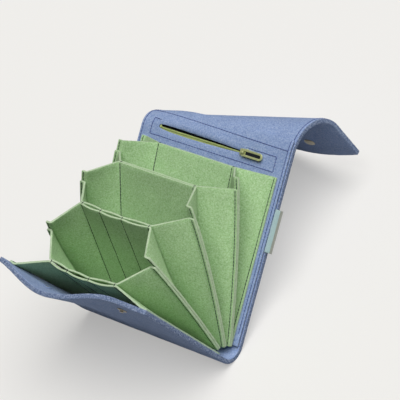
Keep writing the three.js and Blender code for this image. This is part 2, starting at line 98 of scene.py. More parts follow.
# Dividers from the rear one to the front one: name, CAD body, hinge and lean from the back panel
DIVIDERS = (
    (4, "rear_divider", "rear_divider_hinge", math.radians(6)),
    (3, "third_divider", "third_divider_hinge", math.radians(24)),
    (2, "second_divider", "second_divider_hinge", math.radians(46)),
    (1, "front_divider", "front_divider_hinge", math.radians(70)),
)


def length(name, description, millimetres):
    return FloatProperty(
        name=name, description=description, default=millimetres * MM, unit="LENGTH", precision=4
    )


def angle(name, description, degrees):
    return FloatProperty(name=name, description=description, default=math.radians(degrees), subtype="ANGLE")


def share(name, description, value):
    return FloatProperty(name=name, description=description, default=value, precision=2)


def colour(name, description, red, green, blue):
    def linear(value):
        level = value / 255
        return level / 12.92 if level <= 0.04045 else ((level + 0.055) / 1.055) ** 2.4

    default = (linear(red), linear(green), linear(blue), 1.0)
    return FloatVectorProperty(
        name=name, description=description, default=default, size=4, min=0, max=1, subtype="COLOR"
    )


class CoverSizes(bpy.types.PropertyGroup):
    """Sizes of the thick felt cover."""

    width: length("Width", "Width of the cover along its fold", 198)
    felt: length("Felt", "Thickness of the cover's felt", 5)
    reach: length("Reach", "Length from the fold up the back to the end of the flap", 340)
    fold_radius: length("Fold radius", "Radius of the bottom fold at the middle of the felt", 16)
    front_height: length("Front height", "Height of the front panel from the dividers' foot", 152)
    front_angle: angle("Front lean", "Lean of the front panel from the back panel", 74)
    front_bow: length("Front bow", "How far the top of the front panel bows outwards", 19)
    bow_middle: share("Bow middle", "Middle of the bow, as a share of half the width", -0.3)
    bow_reach: share("Bow reach", "Reach of the bow to each side, as a share of half the width", 0.85)
    front_gap: length("Front gap", "Room between the front panel and the front divider", 1.5)
    roll_start: length("Roll start", "Height up the back at which the flap starts to roll", 199.3)
    roll_slant: angle("Roll slant", "Slant of the roll against the fold", 5.2)
    roll_radius: length("Roll radius", "Radius of the roll at the middle of its inner face", 27.8)
    roll_widening: length("Roll widening", "How much wider the roll is at the right edge", 13.7)
    roll_angle: angle("Roll turn", "How far the flap is thrown back in the middle", 101.2)
    roll_twist: angle("Roll twist", "How much further the flap is thrown back at the right edge", 16.6)
    bend_start: length("Bend start", "Where the soft stretch of the roll starts", 10)
    bend_end: length("Bend end", "Where the soft stretch of the roll ends", 47)


class DividerSizes(bpy.types.PropertyGroup):
    """Sizes of the thin felt dividers and their gussets."""

    felt: length("Felt", "Thickness of the dividers' felt", 2)
    gap: length("Gap", "Gap between the two sheets of a divider", 0.4)
    width: length("Width", "Width of a sheet from one outer edge to the other", 184)
    seams: FloatVectorProperty(
        name="Seams", description="Distance between the seams of each divider, from the rear one on",
        size=4, default=(106 * MM, 105 * MM, 96 * MM, 92 * MM), unit="LENGTH", precision=4,
    )
    gusset: length("Gusset", "Width of a gusset from its seam to its tip", 40)
    height: length("Height", "Height of the rear divider", 180)
    step: length("Step", "How much lower each divider is than the one behind it", 12)
    lift: length("Lift", "Height of the sheets' lower edges above the fold", 2)
    flange: length("Flange", "Width of the sewn edge at the tip of a gusset", 6)
    sag: length("Sag", "How far the top of the front divider sags forwards", 4.5)
    gape: length("Gape", "How far the tops of the needle channels stand open", 1.1)


class ZipSizes(bpy.types.PropertyGroup):
    """Sizes of the zip pocket on the back panel."""

    margin: length("Margin", "Distance of the pocket panel from the cover's side edges", 0.6)
    bottom: length("Bottom", "Lower edge of the pocket panel", 3)
    top: length("Top", "Upper edge of the pocket panel", 220)
    lift: length("Lift", "Height of the panel's under side above the cover", 1.4)
    felt: length("Felt", "Thickness of the panel's felt", 2)
    height: length("Height", "Height of the zip up the back", 194.5)
    left: length("Left", "Left end of the slit", -75)
    right: length("Right", "Right end of the slit", 54)
    upper_lip: length("Upper lip", "How far the upper lip of the slit is drawn up", 3.4)
    lower_lip: length("Lower lip", "How far the lower lip of the slit is drawn down", 4.8)
    lip_rise: length("Lip rise", "How far the upper lip stands off the pocket", 2.2)
    slider: length("Slider", "Place of the slider along the zip", 43)
    pull: length("Pull", "Length of the pull", 26)
    pull_width: length("Pull width", "Width of the pull", 8)
    pull_rim: length("Pull rim", "Width of the metal round the pull's window", 2.3)


class StitchSizes(bpy.types.PropertyGroup):
    """Sizes of the stitches."""

    spacing: length("Spacing", "Distance from one stitch to the next", 3.8)
    thread: length("Thread", "Thickness of the thread", 1.1)
    channel_left: length("Left channel", "Place of the left seam between the needle channels", -19)
    channel_right: length("Right channel", "Place of the right seam between the needle channels", 10.5)


class SnapSizes(bpy.types.PropertyGroup):
    """Sizes of the snap fasteners and of the label."""

    spacing: length("Spacing", "Distance between the two snaps", 100)
    from_end: length("From end", "Distance of the snaps from the end of the flap", 30)
    stud_height: length("Stud height", "Height of the studs up the front panel", 124)
    cap_radius: length("Cap radius", "Radius of a snap's cap", 6.2)
    steps: IntProperty(name="Steps", description="Steps round a turned piece", default=40, min=12)
    label_low: length("Label low", "Lower end of the label up the back", 104)
    label_length: length("Label length", "Length of the label along the edge", 45)
    label_show: length("Label show", "How far the label stands out of the edge", 9)


class BagColours(bpy.types.PropertyGroup):
    """Colours of the felts, threads, metals and floor."""

    blue: colour("Blue felt", "Main colour of the cover's felt", 144, 165, 206)
    blue_deep: colour("Deep blue fibres", "Darker fibres in the cover's felt", 92, 114, 168)
    blue_pale: colour("Pale blue fibres", "Paler fibres in the cover's felt", 186, 199, 222)
    green: colour("Green felt", "Main colour of the dividers' felt", 171, 207, 154)
    green_deep: colour("Deep green fibres", "Darker fibres in the dividers' felt", 122, 168, 106)
    green_pale: colour("Pale green fibres", "Paler fibres in the dividers' felt", 208, 230, 195)
    blue_thread: colour("Blue thread", "Thread on the cover", 66, 82, 138)
    green_thread: colour("Dark thread", "Thread on the dividers", 26, 44, 40)
    tape: colour("Zip tape", "Woven tape of the zip", 176, 190, 118)
    teeth: colour("Zip teeth", "Coiled teeth of the zip", 184, 198, 126)
    zip_metal: colour("Zip metal", "Slider and pull of the zip", 226, 232, 172)
    snap_metal: colour("Snap metal", "Caps, sockets and studs of the snaps", 150, 144, 128)
    # The pocket's near-black is painted shade: a dark sheet set where the slit shows only shadow
    lining: colour("Pocket lining", "Dark lining inside the pocket", 18, 22, 30)
    label: colour("Label", "Woven label", 178, 204, 208)
    label_hem: colour("Label hem", "Hem of the woven label", 158, 160, 154)
    floor: colour("Floor", "Floor under the bag", 237, 236, 234)


GROUPS = (
    ("needle_cover", CoverSizes),
    ("needle_dividers", DividerSizes),
    ("needle_zip", ZipSizes),
    ("needle_stitches", StitchSizes),
    ("needle_snaps", SnapSizes),
    ("needle_colours", BagColours),
)


def lerp(low, high, share):
    return low + (high - low) * share


def clamp(value, low, high):
    return max(low, min(high, value))


def spot(x, a, f):
    """A point of the bag's cross-section: a up the back panel, f from its inner face to the front."""
    return Vector((x, -f, a))


def joint_foot(name):
    """The foot of a divider in the bag's frame."""
    return BAG.inverted() @ Vector(JOINTS[name]["pos_m"])


def upward(lean):
    return spot(0, math.cos(lean), math.sin(lean))


def outward(lean):
    return spot(0, -math.sin(lean), math.cos(lean))


def rolled(x, s, lift=0.0):
    """The cover's inner face, raised by lift: flat up the back, then rolled, wider to the right."""
    cover = bpy.context.scene.needle_cover
    cos, sin = math.cos(cover.roll_slant), math.sin(cover.roll_slant)
    along = x * cos + (s - cover.roll_start) * sin
    across = (s - cover.roll_start) * cos - x * sin
    radius = cover.roll_radius + cover.roll_widening * 2 * x / cover.width
    bend = cover.roll_angle + cover.roll_twist * 2 * x / cover.width
    turn = clamp(across / radius, 0, bend)
    after = max(across - radius * bend, 0)
    up = min(across, 0) + (radius + lift) * math.sin(turn) + after * math.cos(bend)
    behind = radius - (radius + lift) * math.cos(turn) + after * math.sin(bend)
    return Vector((along * cos - up * sin, behind, cover.roll_start + along * sin + up * cos))


def roll_middle(across):
    """A point on the roll's own centre line, this far past its start, at the middle of the felt."""
    cover = bpy.context.scene.needle_cover
    x = -across * math.sin(cover.roll_slant)
    s = cover.roll_start + across * math.cos(cover.roll_slant)
    return rolled(x, s, -cover.felt / 2)


def front_foot():
    """The foot of the front panel's middle surface."""
    cover = bpy.context.scene.needle_cover
    dividers = bpy.context.scene.needle_dividers
    lean = DIVIDERS[-1][3]
    offset = dividers.felt + dividers.gap / 2 + cover.front_gap + cover.felt / 2
    return joint_foot(DIVIDERS[-1][2]) + outward(lean) * offset


def front_surface(x, r, lift=0.0):
    """The middle of the front panel, raised outwards by lift."""
    cover = bpy.context.scene.needle_cover
    away = min(abs(2 * x / cover.width - cover.bow_middle) / cover.bow_reach, 1)
    rise = max(r, 0) / cover.front_height
    bow = cover.front_bow * math.cos(away * math.pi / 2) ** 2 * rise ** 2
    place = front_foot() + upward(cover.front_angle) * r + outward(cover.front_angle) * (bow + lift)
    place.x = x
    return place


def fold_centre():
    """Centre of the bottom fold and the place where the front panel leaves it."""
    cover = bpy.context.scene.needle_cover
    foot = front_foot()
    drop = (-foot.y + cover.felt / 2) / math.sin(cover.front_angle)
    corner = foot - upward(cover.front_angle) * drop
    tangent = cover.fold_radius / math.tan(cover.front_angle / 2)
    return spot(0, corner.z + tangent, cover.fold_radius - cover.felt / 2), tangent - drop


def fold_surface(x, turn):
    """The middle of the felt round the bottom fold."""
    centre, _ = fold_centre()
    place = centre - spot(0, math.sin(turn), math.cos(turn)) * bpy.context.scene.needle_cover.fold_radius
    place.x = x
    return place


# Steps for finding a surface's normal: the usual one, and a finer one under a piece that is set on it
NORMAL_STEP = 1e-3
SEAT_STEP = 1e-5


def normal_at(surface, u, v, step=NORMAL_STEP):
    across = surface(u + step, v) - surface(u - step, v)
    along = surface(u, v + step) - surface(u, v - step)
    return across.cross(along).normalized()


def seat(surface, x, s):
    """A frame on a surface of real sizes: z along its normal, x along the bag's width."""
    z = normal_at(surface, x, s, SEAT_STEP)
    x_axis = (surface(x + SEAT_STEP, s) - surface(x - SEAT_STEP, s)).normalized()
    return frame_of((x_axis, z.cross(x_axis), z), surface(x, s))


def rolled_at(lift):
    """The rolled cover raised by a set lift, as a surface of real sizes."""
    def surface(x, s):
        return rolled(x, s, lift)

    return surface


def new_object(name, bm, materials, smooth=True):
    """Closes a bmesh into an object in the row frame."""
    mesh = bpy.data.meshes.new(name)
    bm.to_mesh(mesh)
    bm.free()
    for material in materials:
        mesh.materials.append(material)
    if smooth:
        mesh.shade_smooth()
    obj = bpy.data.objects.new(name, mesh)
    bpy.context.scene.collection.objects.link(obj)
    return obj


def carry(obj, body, node=None):
    """Lets a piece ride on a body, and hides the solid that it stands in for."""
    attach(obj, body)
    if node:
        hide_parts(node)


def bend_with_flap(obj):
    """Bakes a piece's place into its mesh; the ends of the roll's soft stretch are worked out but the piece
    is not bent along the roll.
    """
    cover = bpy.context.scene.needle_cover
    BAG @ roll_middle(cover.bend_start)
    BAG @ roll_middle(cover.bend_end)
    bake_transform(obj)


# Unevenness of cut felt: how fine its lumps, nap and frayed edge are, and how far each shows
FELT_LUMPS, LUMP_SHARE = 60, 0.5
FELT_NAP, NAP_SHARE = 210, 0.3
FELT_FRAY, FRAY_SHARE = 420, 0.5
COVER_FUZZ = 0.35 * MM
THIN_FUZZ = 0.25 * MM
# Rounding of a cut edge: at most this wide, and no more than a share of the felt
EDGE_ROUNDING = 0.5 * MM
EDGE_SHARE = 0.2
EDGE_SEGMENTS = 2
EDGE_CORNER = math.radians(50)


def felt_grid(surface, columns, rows, fuzz):
    """A grid laid on a surface, with the slightly uneven faces and edges of cut felt."""
    bm = bmesh.new()
    bmesh.ops.create_grid(bm, x_segments=columns, y_segments=rows, size=0.5)
    for vert in bm.verts:
        u, v = vert.co.x + 0.5, vert.co.y + 0.5
        place = surface(u, v)
        push = noise.noise(place * FELT_LUMPS) * LUMP_SHARE + noise.noise(place * FELT_NAP) * NAP_SHARE
        vert.co = place + normal_at(surface, u, v) * push * fuzz
        if vert.is_boundary:
            vert.co += noise.noise_vector(place * FELT_FRAY) * fuzz * FRAY_SHARE
    return bm


def thicken(obj, thickness, edge_width):
    """Gives a sheet its thickness, with the cut edges in the next material and slightly rounded."""
    solid = obj.modifiers.new("Felt", "SOLIDIFY")
    solid.thickness = thickness
    solid.offset = 0
    solid.use_even_offset = True
    solid.use_quality_normals = True
    solid.material_offset_rim = 1
    round_over = obj.modifiers.new("Edges", "BEVEL")
    round_over.width = edge_width
    round_over.segments = EDGE_SEGMENTS
    round_over.limit_method = "ANGLE"
    round_over.angle_limit = EDGE_CORNER


def felt_sheet(name, surface, columns, rows, thickness, materials, fuzz):
    """A sheet of felt whose middle lies on surface(u, v) of the bag's frame."""
    bm = felt_grid(surface, columns, rows, fuzz)
    bm.transform(BAG)
    bmesh.ops.recalc_face_normals(bm, faces=bm.faces)
    obj = new_object(name, bm, materials)
    thicken(obj, thickness, min(EDGE_ROUNDING, thickness * EDGE_SHARE))
    return obj


# Points along a seam at which its length is measured
SEAM_KNOTS = 48
# How far each stitch runs on under the next one, as a share of its own stretch
STITCH_OVERLAP = 0.12
# Half the height of a stitch in a row and of one over an edge, as shares of the thread
ROW_RISE = 0.45
BAR_RISE = 0.5


def stitch(bm, middle, along, up, rise):
    """One stitch about its middle: along is half its length, rise half its height in threads."""
    thickness = bpy.context.scene.needle_stitches.thread
    side = up.cross(along).normalized() * thickness * 0.5
    place = frame_of((along, side, up * thickness * rise), middle)
    bmesh.ops.create_icosphere(bm, subdivisions=1, radius=1, matrix=BAG @ place)


def path_length(knots):
    return sum((far - near).length for near, far in zip(knots, knots[1:]))


def sew_row(bm, surface, lift, path, start, end):
    """Sews one row of stitches on a surface: path(t) gives its two parameters, lift its height."""
    knots = [surface(*path(lerp(start, end, k / SEAM_KNOTS))) for k in range(SEAM_KNOTS + 1)]
    stitches = max(1, round(path_length(knots) / bpy.context.scene.needle_stitches.spacing))

    def at(k):
        return path(lerp(start, end, k / stitches))

    for k in range(stitches):
        middle = at(k + 0.5)
        up = normal_at(surface, *middle)
        along = (surface(*at(k + 1 + STITCH_OVERLAP)) - surface(*at(k - STITCH_OVERLAP))) * 0.5
        stitch(bm, surface(*middle) + up * lift, along, up, ROW_RISE)


def nodes_of(name):
    """A new material with its node tree, shader and object coordinates."""
    material = bpy.data.materials.new(name)
    material.use_nodes = True
    tree = material.node_tree
    shader = tree.nodes["Principled BSDF"]
    place = tree.nodes.new("ShaderNodeTexCoord")
    return material, tree, shader, place.outputs["Object"]


def set_inputs(node, values):
    for socket, value in values.items():
        node.inputs[socket].default_value = value


def noise_node(tree, place, scale, detail, rough):
    node = tree.nodes.new("ShaderNodeTexNoise")
    set_inputs(node, {"Scale": scale, "Detail": detail, "Roughness": rough})
    tree.links.new(place, node.inputs["Vector"])
    return node.outputs["Fac"]


def ramp_node(tree, value, stops):
    node = tree.nodes.new("ShaderNodeValToRGB")
    ramp = node.color_ramp
    while len(ramp.elements) < len(stops):
        ramp.elements.new(0.5)
    for element, (position, shade) in zip(ramp.elements, stops):
        element.position = position
        element.color = shade
    tree.links.new(value, node.inputs["Fac"])
    return node.outputs["Color"]


def bump_node(tree, height, distance, strength, under=None):
    node = tree.nodes.new("ShaderNodeBump")
    set_inputs(node, {"Distance": distance, "Strength": strength})
    tree.links.new(height, node.inputs["Height"])
    if under is not None:
        tree.links.new(under, node.inputs["Normal"])
    return node.outputs["Normal"]


def paint(tree, shader, shade, relief):
    """Gives a shader its colour and its relief."""
    tree.links.new(shade, shader.inputs["Base Color"])
    tree.links.new(relief, shader.inputs["Normal"])


def scaled(shade, factor):
    return tuple(min(1.0, channel * factor) for channel in shade[:3]) + (1.0,)


# How far from the middle of the heather its deepest and palest fibres lie
HEATHER_SPREAD = 0.26
WHITE = (1, 1, 1, 1)
CLOUD_DEPTH = 0.9


def felt(name, main_shade, deep, pale, contrast=1.0):
    """Pressed wool felt: a heather of paler and darker fibres, a fine nap and a soft sheen."""
    material, tree, shader, place = nodes_of(name)
    spread = HEATHER_SPREAD * contrast
    heather = noise_node(tree, place, scale=640, detail=5, rough=0.72)
    fibres = ramp_node(tree, heather, ((0.5 - spread, deep), (0.5, main_shade), (0.5 + spread, pale)))
    cloud = noise_node(tree, place, scale=70, detail=4, rough=0.6)
    clouds = ramp_node(tree, cloud, ((0.3, scaled(WHITE, CLOUD_DEPTH)), (0.7, WHITE)))
    mix = tree.nodes.new("ShaderNodeMix")
    mix.data_type = "RGBA"
    mix.blend_type = "MULTIPLY"
    mix.inputs["Factor"].default_value = 1.0
    tree.links.new(fibres, mix.inputs["A"])
    tree.links.new(clouds, mix.inputs["B"])
    nap = noise_node(tree, place, scale=900, detail=6, rough=0.75)
    lumps = noise_node(tree, place, scale=160, detail=3, rough=0.6)
    coarse = bump_node(tree, lumps, distance=0.9 * MM, strength=0.35)
    fine = bump_node(tree, nap, distance=0.7 * MM, strength=0.55, under=coarse)
    paint(tree, shader, mix.outputs["Result"], fine)
    set_inputs(shader, {
        "Roughness": 0.95,
        "Specular IOR Level": 0.12,
        "Sheen Weight": 0.2,
        "Sheen Roughness": 0.4,
        "Sheen Tint": pale,
    })
    return material


def thread(name, shade):
    """Twisted sewing thread."""
    material, tree, shader, place = nodes_of(name)
    twist = noise_node(tree, place, scale=1500, detail=2, rough=0.5)
    strands = ramp_node(tree, twist, ((0.35, scaled(shade, 0.75)), (0.65, scaled(shade, 1.25))))
    paint(tree, shader, strands, bump_node(tree, twist, distance=0.15 * MM, strength=0.4))
    set_inputs(shader, {"Roughness": 0.7})
    return material


def woven(name, shade, ribs_scale):
    """Woven tape or label, with its ribs across the bag."""
    material, tree, shader, place = nodes_of(name)
    wave = tree.nodes.new("ShaderNodeTexWave")
    set_inputs(wave, {"Scale": ribs_scale, "Distortion": 1.2, "Detail": 2})
    tree.links.new(place, wave.inputs["Vector"])
    ribs = wave.outputs["Fac"]
    weave = ramp_node(tree, ribs, ((0.2, scaled(shade, 0.8)), (0.8, scaled(shade, 1.1))))
    paint(tree, shader, weave, bump_node(tree, ribs, distance=0.2 * MM, strength=0.5))
    set_inputs(shader, {"Roughness": 0.85})
    return material


def satin_metal(name, shade, roughness, metallic):
    """Cast metal, or a smooth coating on it, with a worn satin surface."""
    material, tree, shader, place = nodes_of(name)
    wear = noise_node(tree, place, scale=420, detail=4, rough=0.65)
    tarnish = ramp_node(tree, wear, ((0.3, scaled(shade, 0.82)), (0.7, scaled(shade, 1.08))))
    paint(tree, shader, tarnish, bump_node(tree, wear, distance=0.1 * MM, strength=0.25))
    gloss = tree.nodes.new("ShaderNodeMapRange")
    set_inputs(gloss, {"To Min": roughness * 0.8, "To Max": roughness * 1.25})
    tree.links.new(wear, gloss.inputs["Value"])
    tree.links.new(gloss.outputs["Result"], shader.inputs["Roughness"])
    set_inputs(shader, {"Metallic": metallic})
    return material


FINISHES = {}


def finish_of(name, make, *shades, **surface):
    """Each finish is made once and shared."""
    if name not in FINISHES:
        FINISHES[name] = make(name, *shades, **surface)
    return FINISHES[name]


BLUE_EDGE_CONTRAST = 0.6


def blue_felts():
    """The cover's felt, and its cut edge darkened with painted shade."""
    shades = bpy.context.scene.needle_colours
    face = finish_of("blue_felt", felt, shades.blue, shades.blue_deep, shades.blue_pale)
    # The cut edge is darker and deeper blue: painted shade, as if the edges stood in shadow
    edge = finish_of(
        "blue_cut_edge", felt, scaled(shades.blue, 0.6), scaled(shades.blue_deep, 0.5),
        scaled(shades.blue_pale, 0.9), contrast=BLUE_EDGE_CONTRAST,
    )
    return face, edge


def green_felts():
    """The dividers' felt, and its cut edge paled with a painted sheen."""
    shades = bpy.context.scene.needle_colours
    face = finish_of("green_felt", felt, shades.green, shades.green_deep, shades.green_pale)
    # The cut edge is paler: painted sheen, the brightness of the felt's fuzz at grazing light
    edge = finish_of(
        "green_cut_edge", felt, scaled(shades.green_pale, 0.78), scaled(shades.green, 0.85),
        shades.green_pale,
    )
    return face, edge


def blue_thread():
    return finish_of("blue_thread", thread, bpy.context.scene.needle_colours.blue_thread)


def green_thread():
    return finish_of("dark_thread", thread, bpy.context.scene.needle_colours.green_thread)


COVER_COLUMNS = 56
BACK_ROWS = 96
FRONT_ROWS = 60
# Turn of the bottom fold from which it follows the front panel; the point there is worked out but not used
FOLD_GIVES = math.radians(20)


class NEEDLE_OT_cover(bpy.types.Operator):
    """Cuts the thick felt cover: the back with its flap, and the front with the bottom fold"""

    bl_idname = "needle.cover"
    bl_label = "Felt cover"

    def back(self, context):
        cover = context.scene.needle_cover
        half = cover.width / 2
        low = fold_centre()[0].z

        def surface(u, v):
            return rolled(lerp(-half, half, u), lerp(low, cover.reach, v), -cover.felt / 2)

        sheet = felt_sheet(
            "cover_back_felt", surface, COVER_COLUMNS, BACK_ROWS, cover.felt, blue_felts(), COVER_FUZZ,
        )
        bend_with_flap(sheet)
        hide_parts("cover_back", "flap_bend", "flap")

    def front(self, context):
        cover = context.scene.needle_cover
        half = cover.width / 2
        front_start = fold_centre()[1]
        arc = math.pi - cover.front_angle
        arc_length = arc * cover.fold_radius
        total = arc_length + cover.front_height - front_start

        def surface(u, v):
            x = lerp(-half, half, u)
            run = v * total
            if run < arc_length:
                return fold_surface(x, run / cover.fold_radius)
            return front_surface(x, front_start + run - arc_length)

        sheet = felt_sheet(
            "cover_front_felt", surface, COVER_COLUMNS, FRONT_ROWS, cover.felt, blue_felts(), COVER_FUZZ,
        )
        BAG @ fold_surface(0, FOLD_GIVES)
        BAG @ fold_surface(0, arc)
        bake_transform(sheet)
        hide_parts("cover_spine", "cover_front_fold", "cover_front")

    def execute(self, context):
        self.back(context)
        self.front(context)
        return {"FINISHED"}


# How the slit gapes: its size, and how fast it opens from its left and from its right end
SLIT_GAPE = 1.5
SLIT_LEFT = 0.32
SLIT_RIGHT = 0.75


def slit_profile(x):
    """How far the zip's slit stands open along its length, from 0 at its ends to about 0.8."""
    size = bpy.context.scene.needle_zip
    share = (x - size.left) / (size.right - size.left)
    if share <= 0 or share >= 1:
        return 0.0
    return SLIT_GAPE * share ** SLIT_LEFT * (1 - share) ** SLIT_RIGHT


# Grid of the pocket panel: its columns, and its rows below and above the slit
PANEL_COLUMNS = 90
LOW_ROWS = 44
HIGH_ROWS = 8
PANEL_FUZZ = 0.12 * MM
PANEL_EDGE = 0.4 * MM
PANEL_MERGE = 0.05 * MM
# How far from the slit its lips still rise, and how much of the upper lip's rise the lower one has
LOWER_LIP_REACH = 6 * MM
UPPER_LIP_REACH = 7 * MM
LOWER_LIP_SHARE = 0.35
# A dark strip under the slit, painted shade for the shadow inside the pocket: its half width, lift and
# thickness
SHADE_LINING_HALF = 8 * MM
SHADE_LINING_LIFT = 0.15 * MM
SHADE_LINING_THICKNESS = 0.2 * MM
TAPE_OVERHANG = 6 * MM
TAPE_WIDTH = 10.2 * MM
TAPE_LIFT = 0.75 * MM
TAPE_THICKNESS = 0.7 * MM
# Distance of each tape from the zip's line
LOWER_TAPE_GAP = 0.3 * MM
UPPER_TAPE_GAP = 0.6 * MM
STRIP_COLUMNS = 60
STRIP_ROWS = 4
STRIP_FUZZ = 0.05 * MM
# The coil: its height over the cover, the half sizes of a tooth, their spacing and free ends
COIL_LIFT = 2 * MM
COIL_OFFSET = 0.95 * MM
TOOTH = (0.52 * MM, 0.95 * MM, 0.6 * MM)
TOOTH_SPACING = 1.5 * MM
COIL_END = 3.6 * MM
STOP = (2 * MM, 3.6 * MM, 1.2 * MM)
STOP_END = 2 * MM
STOP_EDGE = 0.3 * MM
RIBS_OF_TAPE = 900


def soften(bm, edges, width, segments=3):
    """Rounds edges over."""
    bmesh.ops.bevel(
        bm, geom=edges, offset=width, segments=segments, profile=0.5, affect="EDGES", material=-1,
    )


class NEEDLE_OT_zip_pocket(bpy.types.Operator):
    """Sews the zip pocket on the back: its panel with the slit, a dark under-sheet of painted shade inside
    the slit, tapes and teeth
    """

    bl_idname = "needle.zip_pocket"
    bl_label = "Zip pocket"

    def panel(self, context):
        size = context.scene.needle_zip
        half = context.scene.needle_cover.width / 2 - size.margin
        middle = size.lift + size.felt / 2
        rows = LOW_ROWS + HIGH_ROWS + 1

        def rise(away, reach):
            return size.lip_rise * math.exp(-(away / reach) ** 2)

        def surface(u, v):
            x = lerp(-half, half, u)
            row = v * rows
            gape = slit_profile(x)
            low_lip = size.height - size.lower_lip * gape
            high_lip = size.height + size.upper_lip * gape
            if row <= LOW_ROWS:
                s = lerp(size.bottom, low_lip, row / LOW_ROWS)
                lift = LOWER_LIP_SHARE * gape * rise(s - low_lip, LOWER_LIP_REACH)
            elif row >= LOW_ROWS + 1:
                s = lerp(high_lip, size.top, (row - LOW_ROWS - 1) / HIGH_ROWS)
                lift = gape * rise(s - high_lip, UPPER_LIP_REACH)
            else:
                s = lerp(low_lip, high_lip, row - LOW_ROWS)
                lift = 0.0
            return rolled(x, s, middle + lift)

        bm = bmesh.new()
        bmesh.ops.create_grid(bm, x_segments=PANEL_COLUMNS, y_segments=rows, size=0.5)
        slit_faces = []
        for face in bm.faces:
            centre = face.calc_center_median()
            x = lerp(-half, half, centre.x + 0.5)
            row = (centre.y + 0.5) * rows
            if LOW_ROWS < row < LOW_ROWS + 1 and slit_profile(x) > 0:
                slit_faces.append(face)
        bmesh.ops.delete(bm, geom=slit_faces, context="FACES")
        for vert in bm.verts:
            vert.co = surface(vert.co.x + 0.5, vert.co.y + 0.5)
        bmesh.ops.remove_doubles(bm, verts=bm.verts, dist=PANEL_MERGE)
        for vert in bm.verts:
            vert.co += noise.noise_vector(vert.co * FELT_NAP) * PANEL_FUZZ
        bm.transform(BAG)
        bmesh.ops.recalc_face_normals(bm, faces=bm.faces)
        sheet = new_object("zip_pocket_felt", bm, blue_felts())
        thicken(sheet, size.felt, PANEL_EDGE)
        bend_with_flap(sheet)
        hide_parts("zip_pocket_panel")

    def strip(self, name, node, near, far, lift, thickness, material, drawn=0.0):
        """A strip along the zip, from near to far across it, drawn along with a lip of the slit."""
        size = bpy.context.scene.needle_zip

        def surface(u, v):
            x = lerp(size.left - TAPE_OVERHANG, size.right + TAPE_OVERHANG, u)
            return rolled(x, size.height + drawn * slit_profile(x) + lerp(near, far, v), lift)

        finishes = (material, material)
        sheet = felt_sheet(name, surface, STRIP_COLUMNS, STRIP_ROWS, thickness, finishes, STRIP_FUZZ)
        carry(sheet, "back_cover", node)

    def teeth(self, name, node, offset, drawn, material):
        """One row of the zip's coil: rounded teeth a little apart."""
        size = bpy.context.scene.needle_zip
        bm = bmesh.new()
        first, last = size.left + COIL_END, size.right - COIL_END
        count = round((last - first) / TOOTH_SPACING)
        for k in range(count):
            x = lerp(first, last, (k + 0.5) / count)
            s = size.height + drawn * slit_profile(x) + offset
            place = BAG @ seat(rolled_at(COIL_LIFT), x, s) @ Matrix.Diagonal((*TOOTH, 1))
            bmesh.ops.create_icosphere(bm, subdivisions=2, radius=1, matrix=place)
        carry(new_object(name, bm, (material,)), "back_cover", node)

    def stops(self, material):
        """Crimped stops at both ends of the zip."""
        size = bpy.context.scene.needle_zip
        for name, x in (("left", size.left + STOP_END), ("right", size.right - STOP_END)):
            bm = bmesh.new()
            place = BAG @ seat(rolled_at(COIL_LIFT), x, size.height) @ Matrix.Diagonal((*STOP, 1))
            bmesh.ops.create_cube(bm, size=1, matrix=place)
            soften(bm, bm.edges[:], STOP_EDGE)
            obj = new_object(f"zip_stop_{name}_crimp", bm, (material,))
            carry(obj, "back_cover", f"zip_stop_{name}")

    def execute(self, context):
        size = context.scene.needle_zip
        shades = context.scene.needle_colours
        tape = finish_of("zip_tape", woven, shades.tape, ribs_scale=RIBS_OF_TAPE)
        coil = finish_of("zip_teeth", satin_metal, shades.teeth, roughness=0.45, metallic=0.0)
        # Near-black felt for the strip under the slit: painted shade
        lining = finish_of(
            "pocket_lining", felt, shades.lining, scaled(shades.lining, 0.7), scaled(shades.lining, 1.5),
        )
        self.panel(context)
        self.strip(
            "pocket_lining", None, -SHADE_LINING_HALF, SHADE_LINING_HALF, SHADE_LINING_LIFT, SHADE_LINING_THICKNESS, lining,
        )
        self.strip(
            "zip_tape_lower_weave", "zip_tape_lower", -LOWER_TAPE_GAP - TAPE_WIDTH, -LOWER_TAPE_GAP,
            TAPE_LIFT, TAPE_THICKNESS, tape,
        )
        self.strip(
            "zip_tape_upper_weave", "zip_tape_upper", UPPER_TAPE_GAP, UPPER_TAPE_GAP + TAPE_WIDTH,
            TAPE_LIFT, TAPE_THICKNESS, tape, size.upper_lip,
        )
        self.teeth("zip_teeth_lower", "zip_coil_lower", -COIL_OFFSET, 0.0, coil)
        self.teeth("zip_teeth_upper", "zip_coil_upper", COIL_OFFSET, size.upper_lip, coil)
        self.stops(coil)
        return {"FINISHED"}


# The slider, along the zip, across it and off the cover: its plate narrows to the left
SLIDER_GAP = 0.3 * MM
PLATE_LONG, PLATE_WIDE, PLATE_HIGH = 10 * MM, 9 * MM, 1.5 * MM
PLATE_TAPER = 0.72
BODY_LONG = 8 * MM
CORE_WIDE, CORE_LOW, CORE_SINK = 6.6 * MM, 2.9 * MM, 0.5 * MM
FLANGE_WIDE, FLANGE_LOW, FLANGE_MIDDLE = 1 * MM, 1.4 * MM, 3 * MM
# The bridge over the pull's bar: half the room for the bar, its posts and its top
BAR_ROOM = 1.29 * MM
BRIDGE_WIDE = 2 * MM
POST_LONG = 1 * MM
POST_SINK, POST_RISE = 0.4 * MM, 0.8 * MM
BRIDGE_HIGH = 1 * MM
SLIDER_EDGE = 0.28 * MM
# The pull: half the length of its bar, its thickness, and the dark piece in its window, painted shade where
# the window shows shadow
PULL_BAR = 0.7 * MM
PULL_THICKNESS = 1.4 * MM
PULL_EDGE = 0.3 * MM
PULL_CORNER = math.radians(60)
PULL_TURN = 15
WINDOW_SHADE_START = 4 * MM
WINDOW_SHADE_TUCK = 0.2 * MM
WINDOW_SHADE_THICKNESS = 0.7 * MM


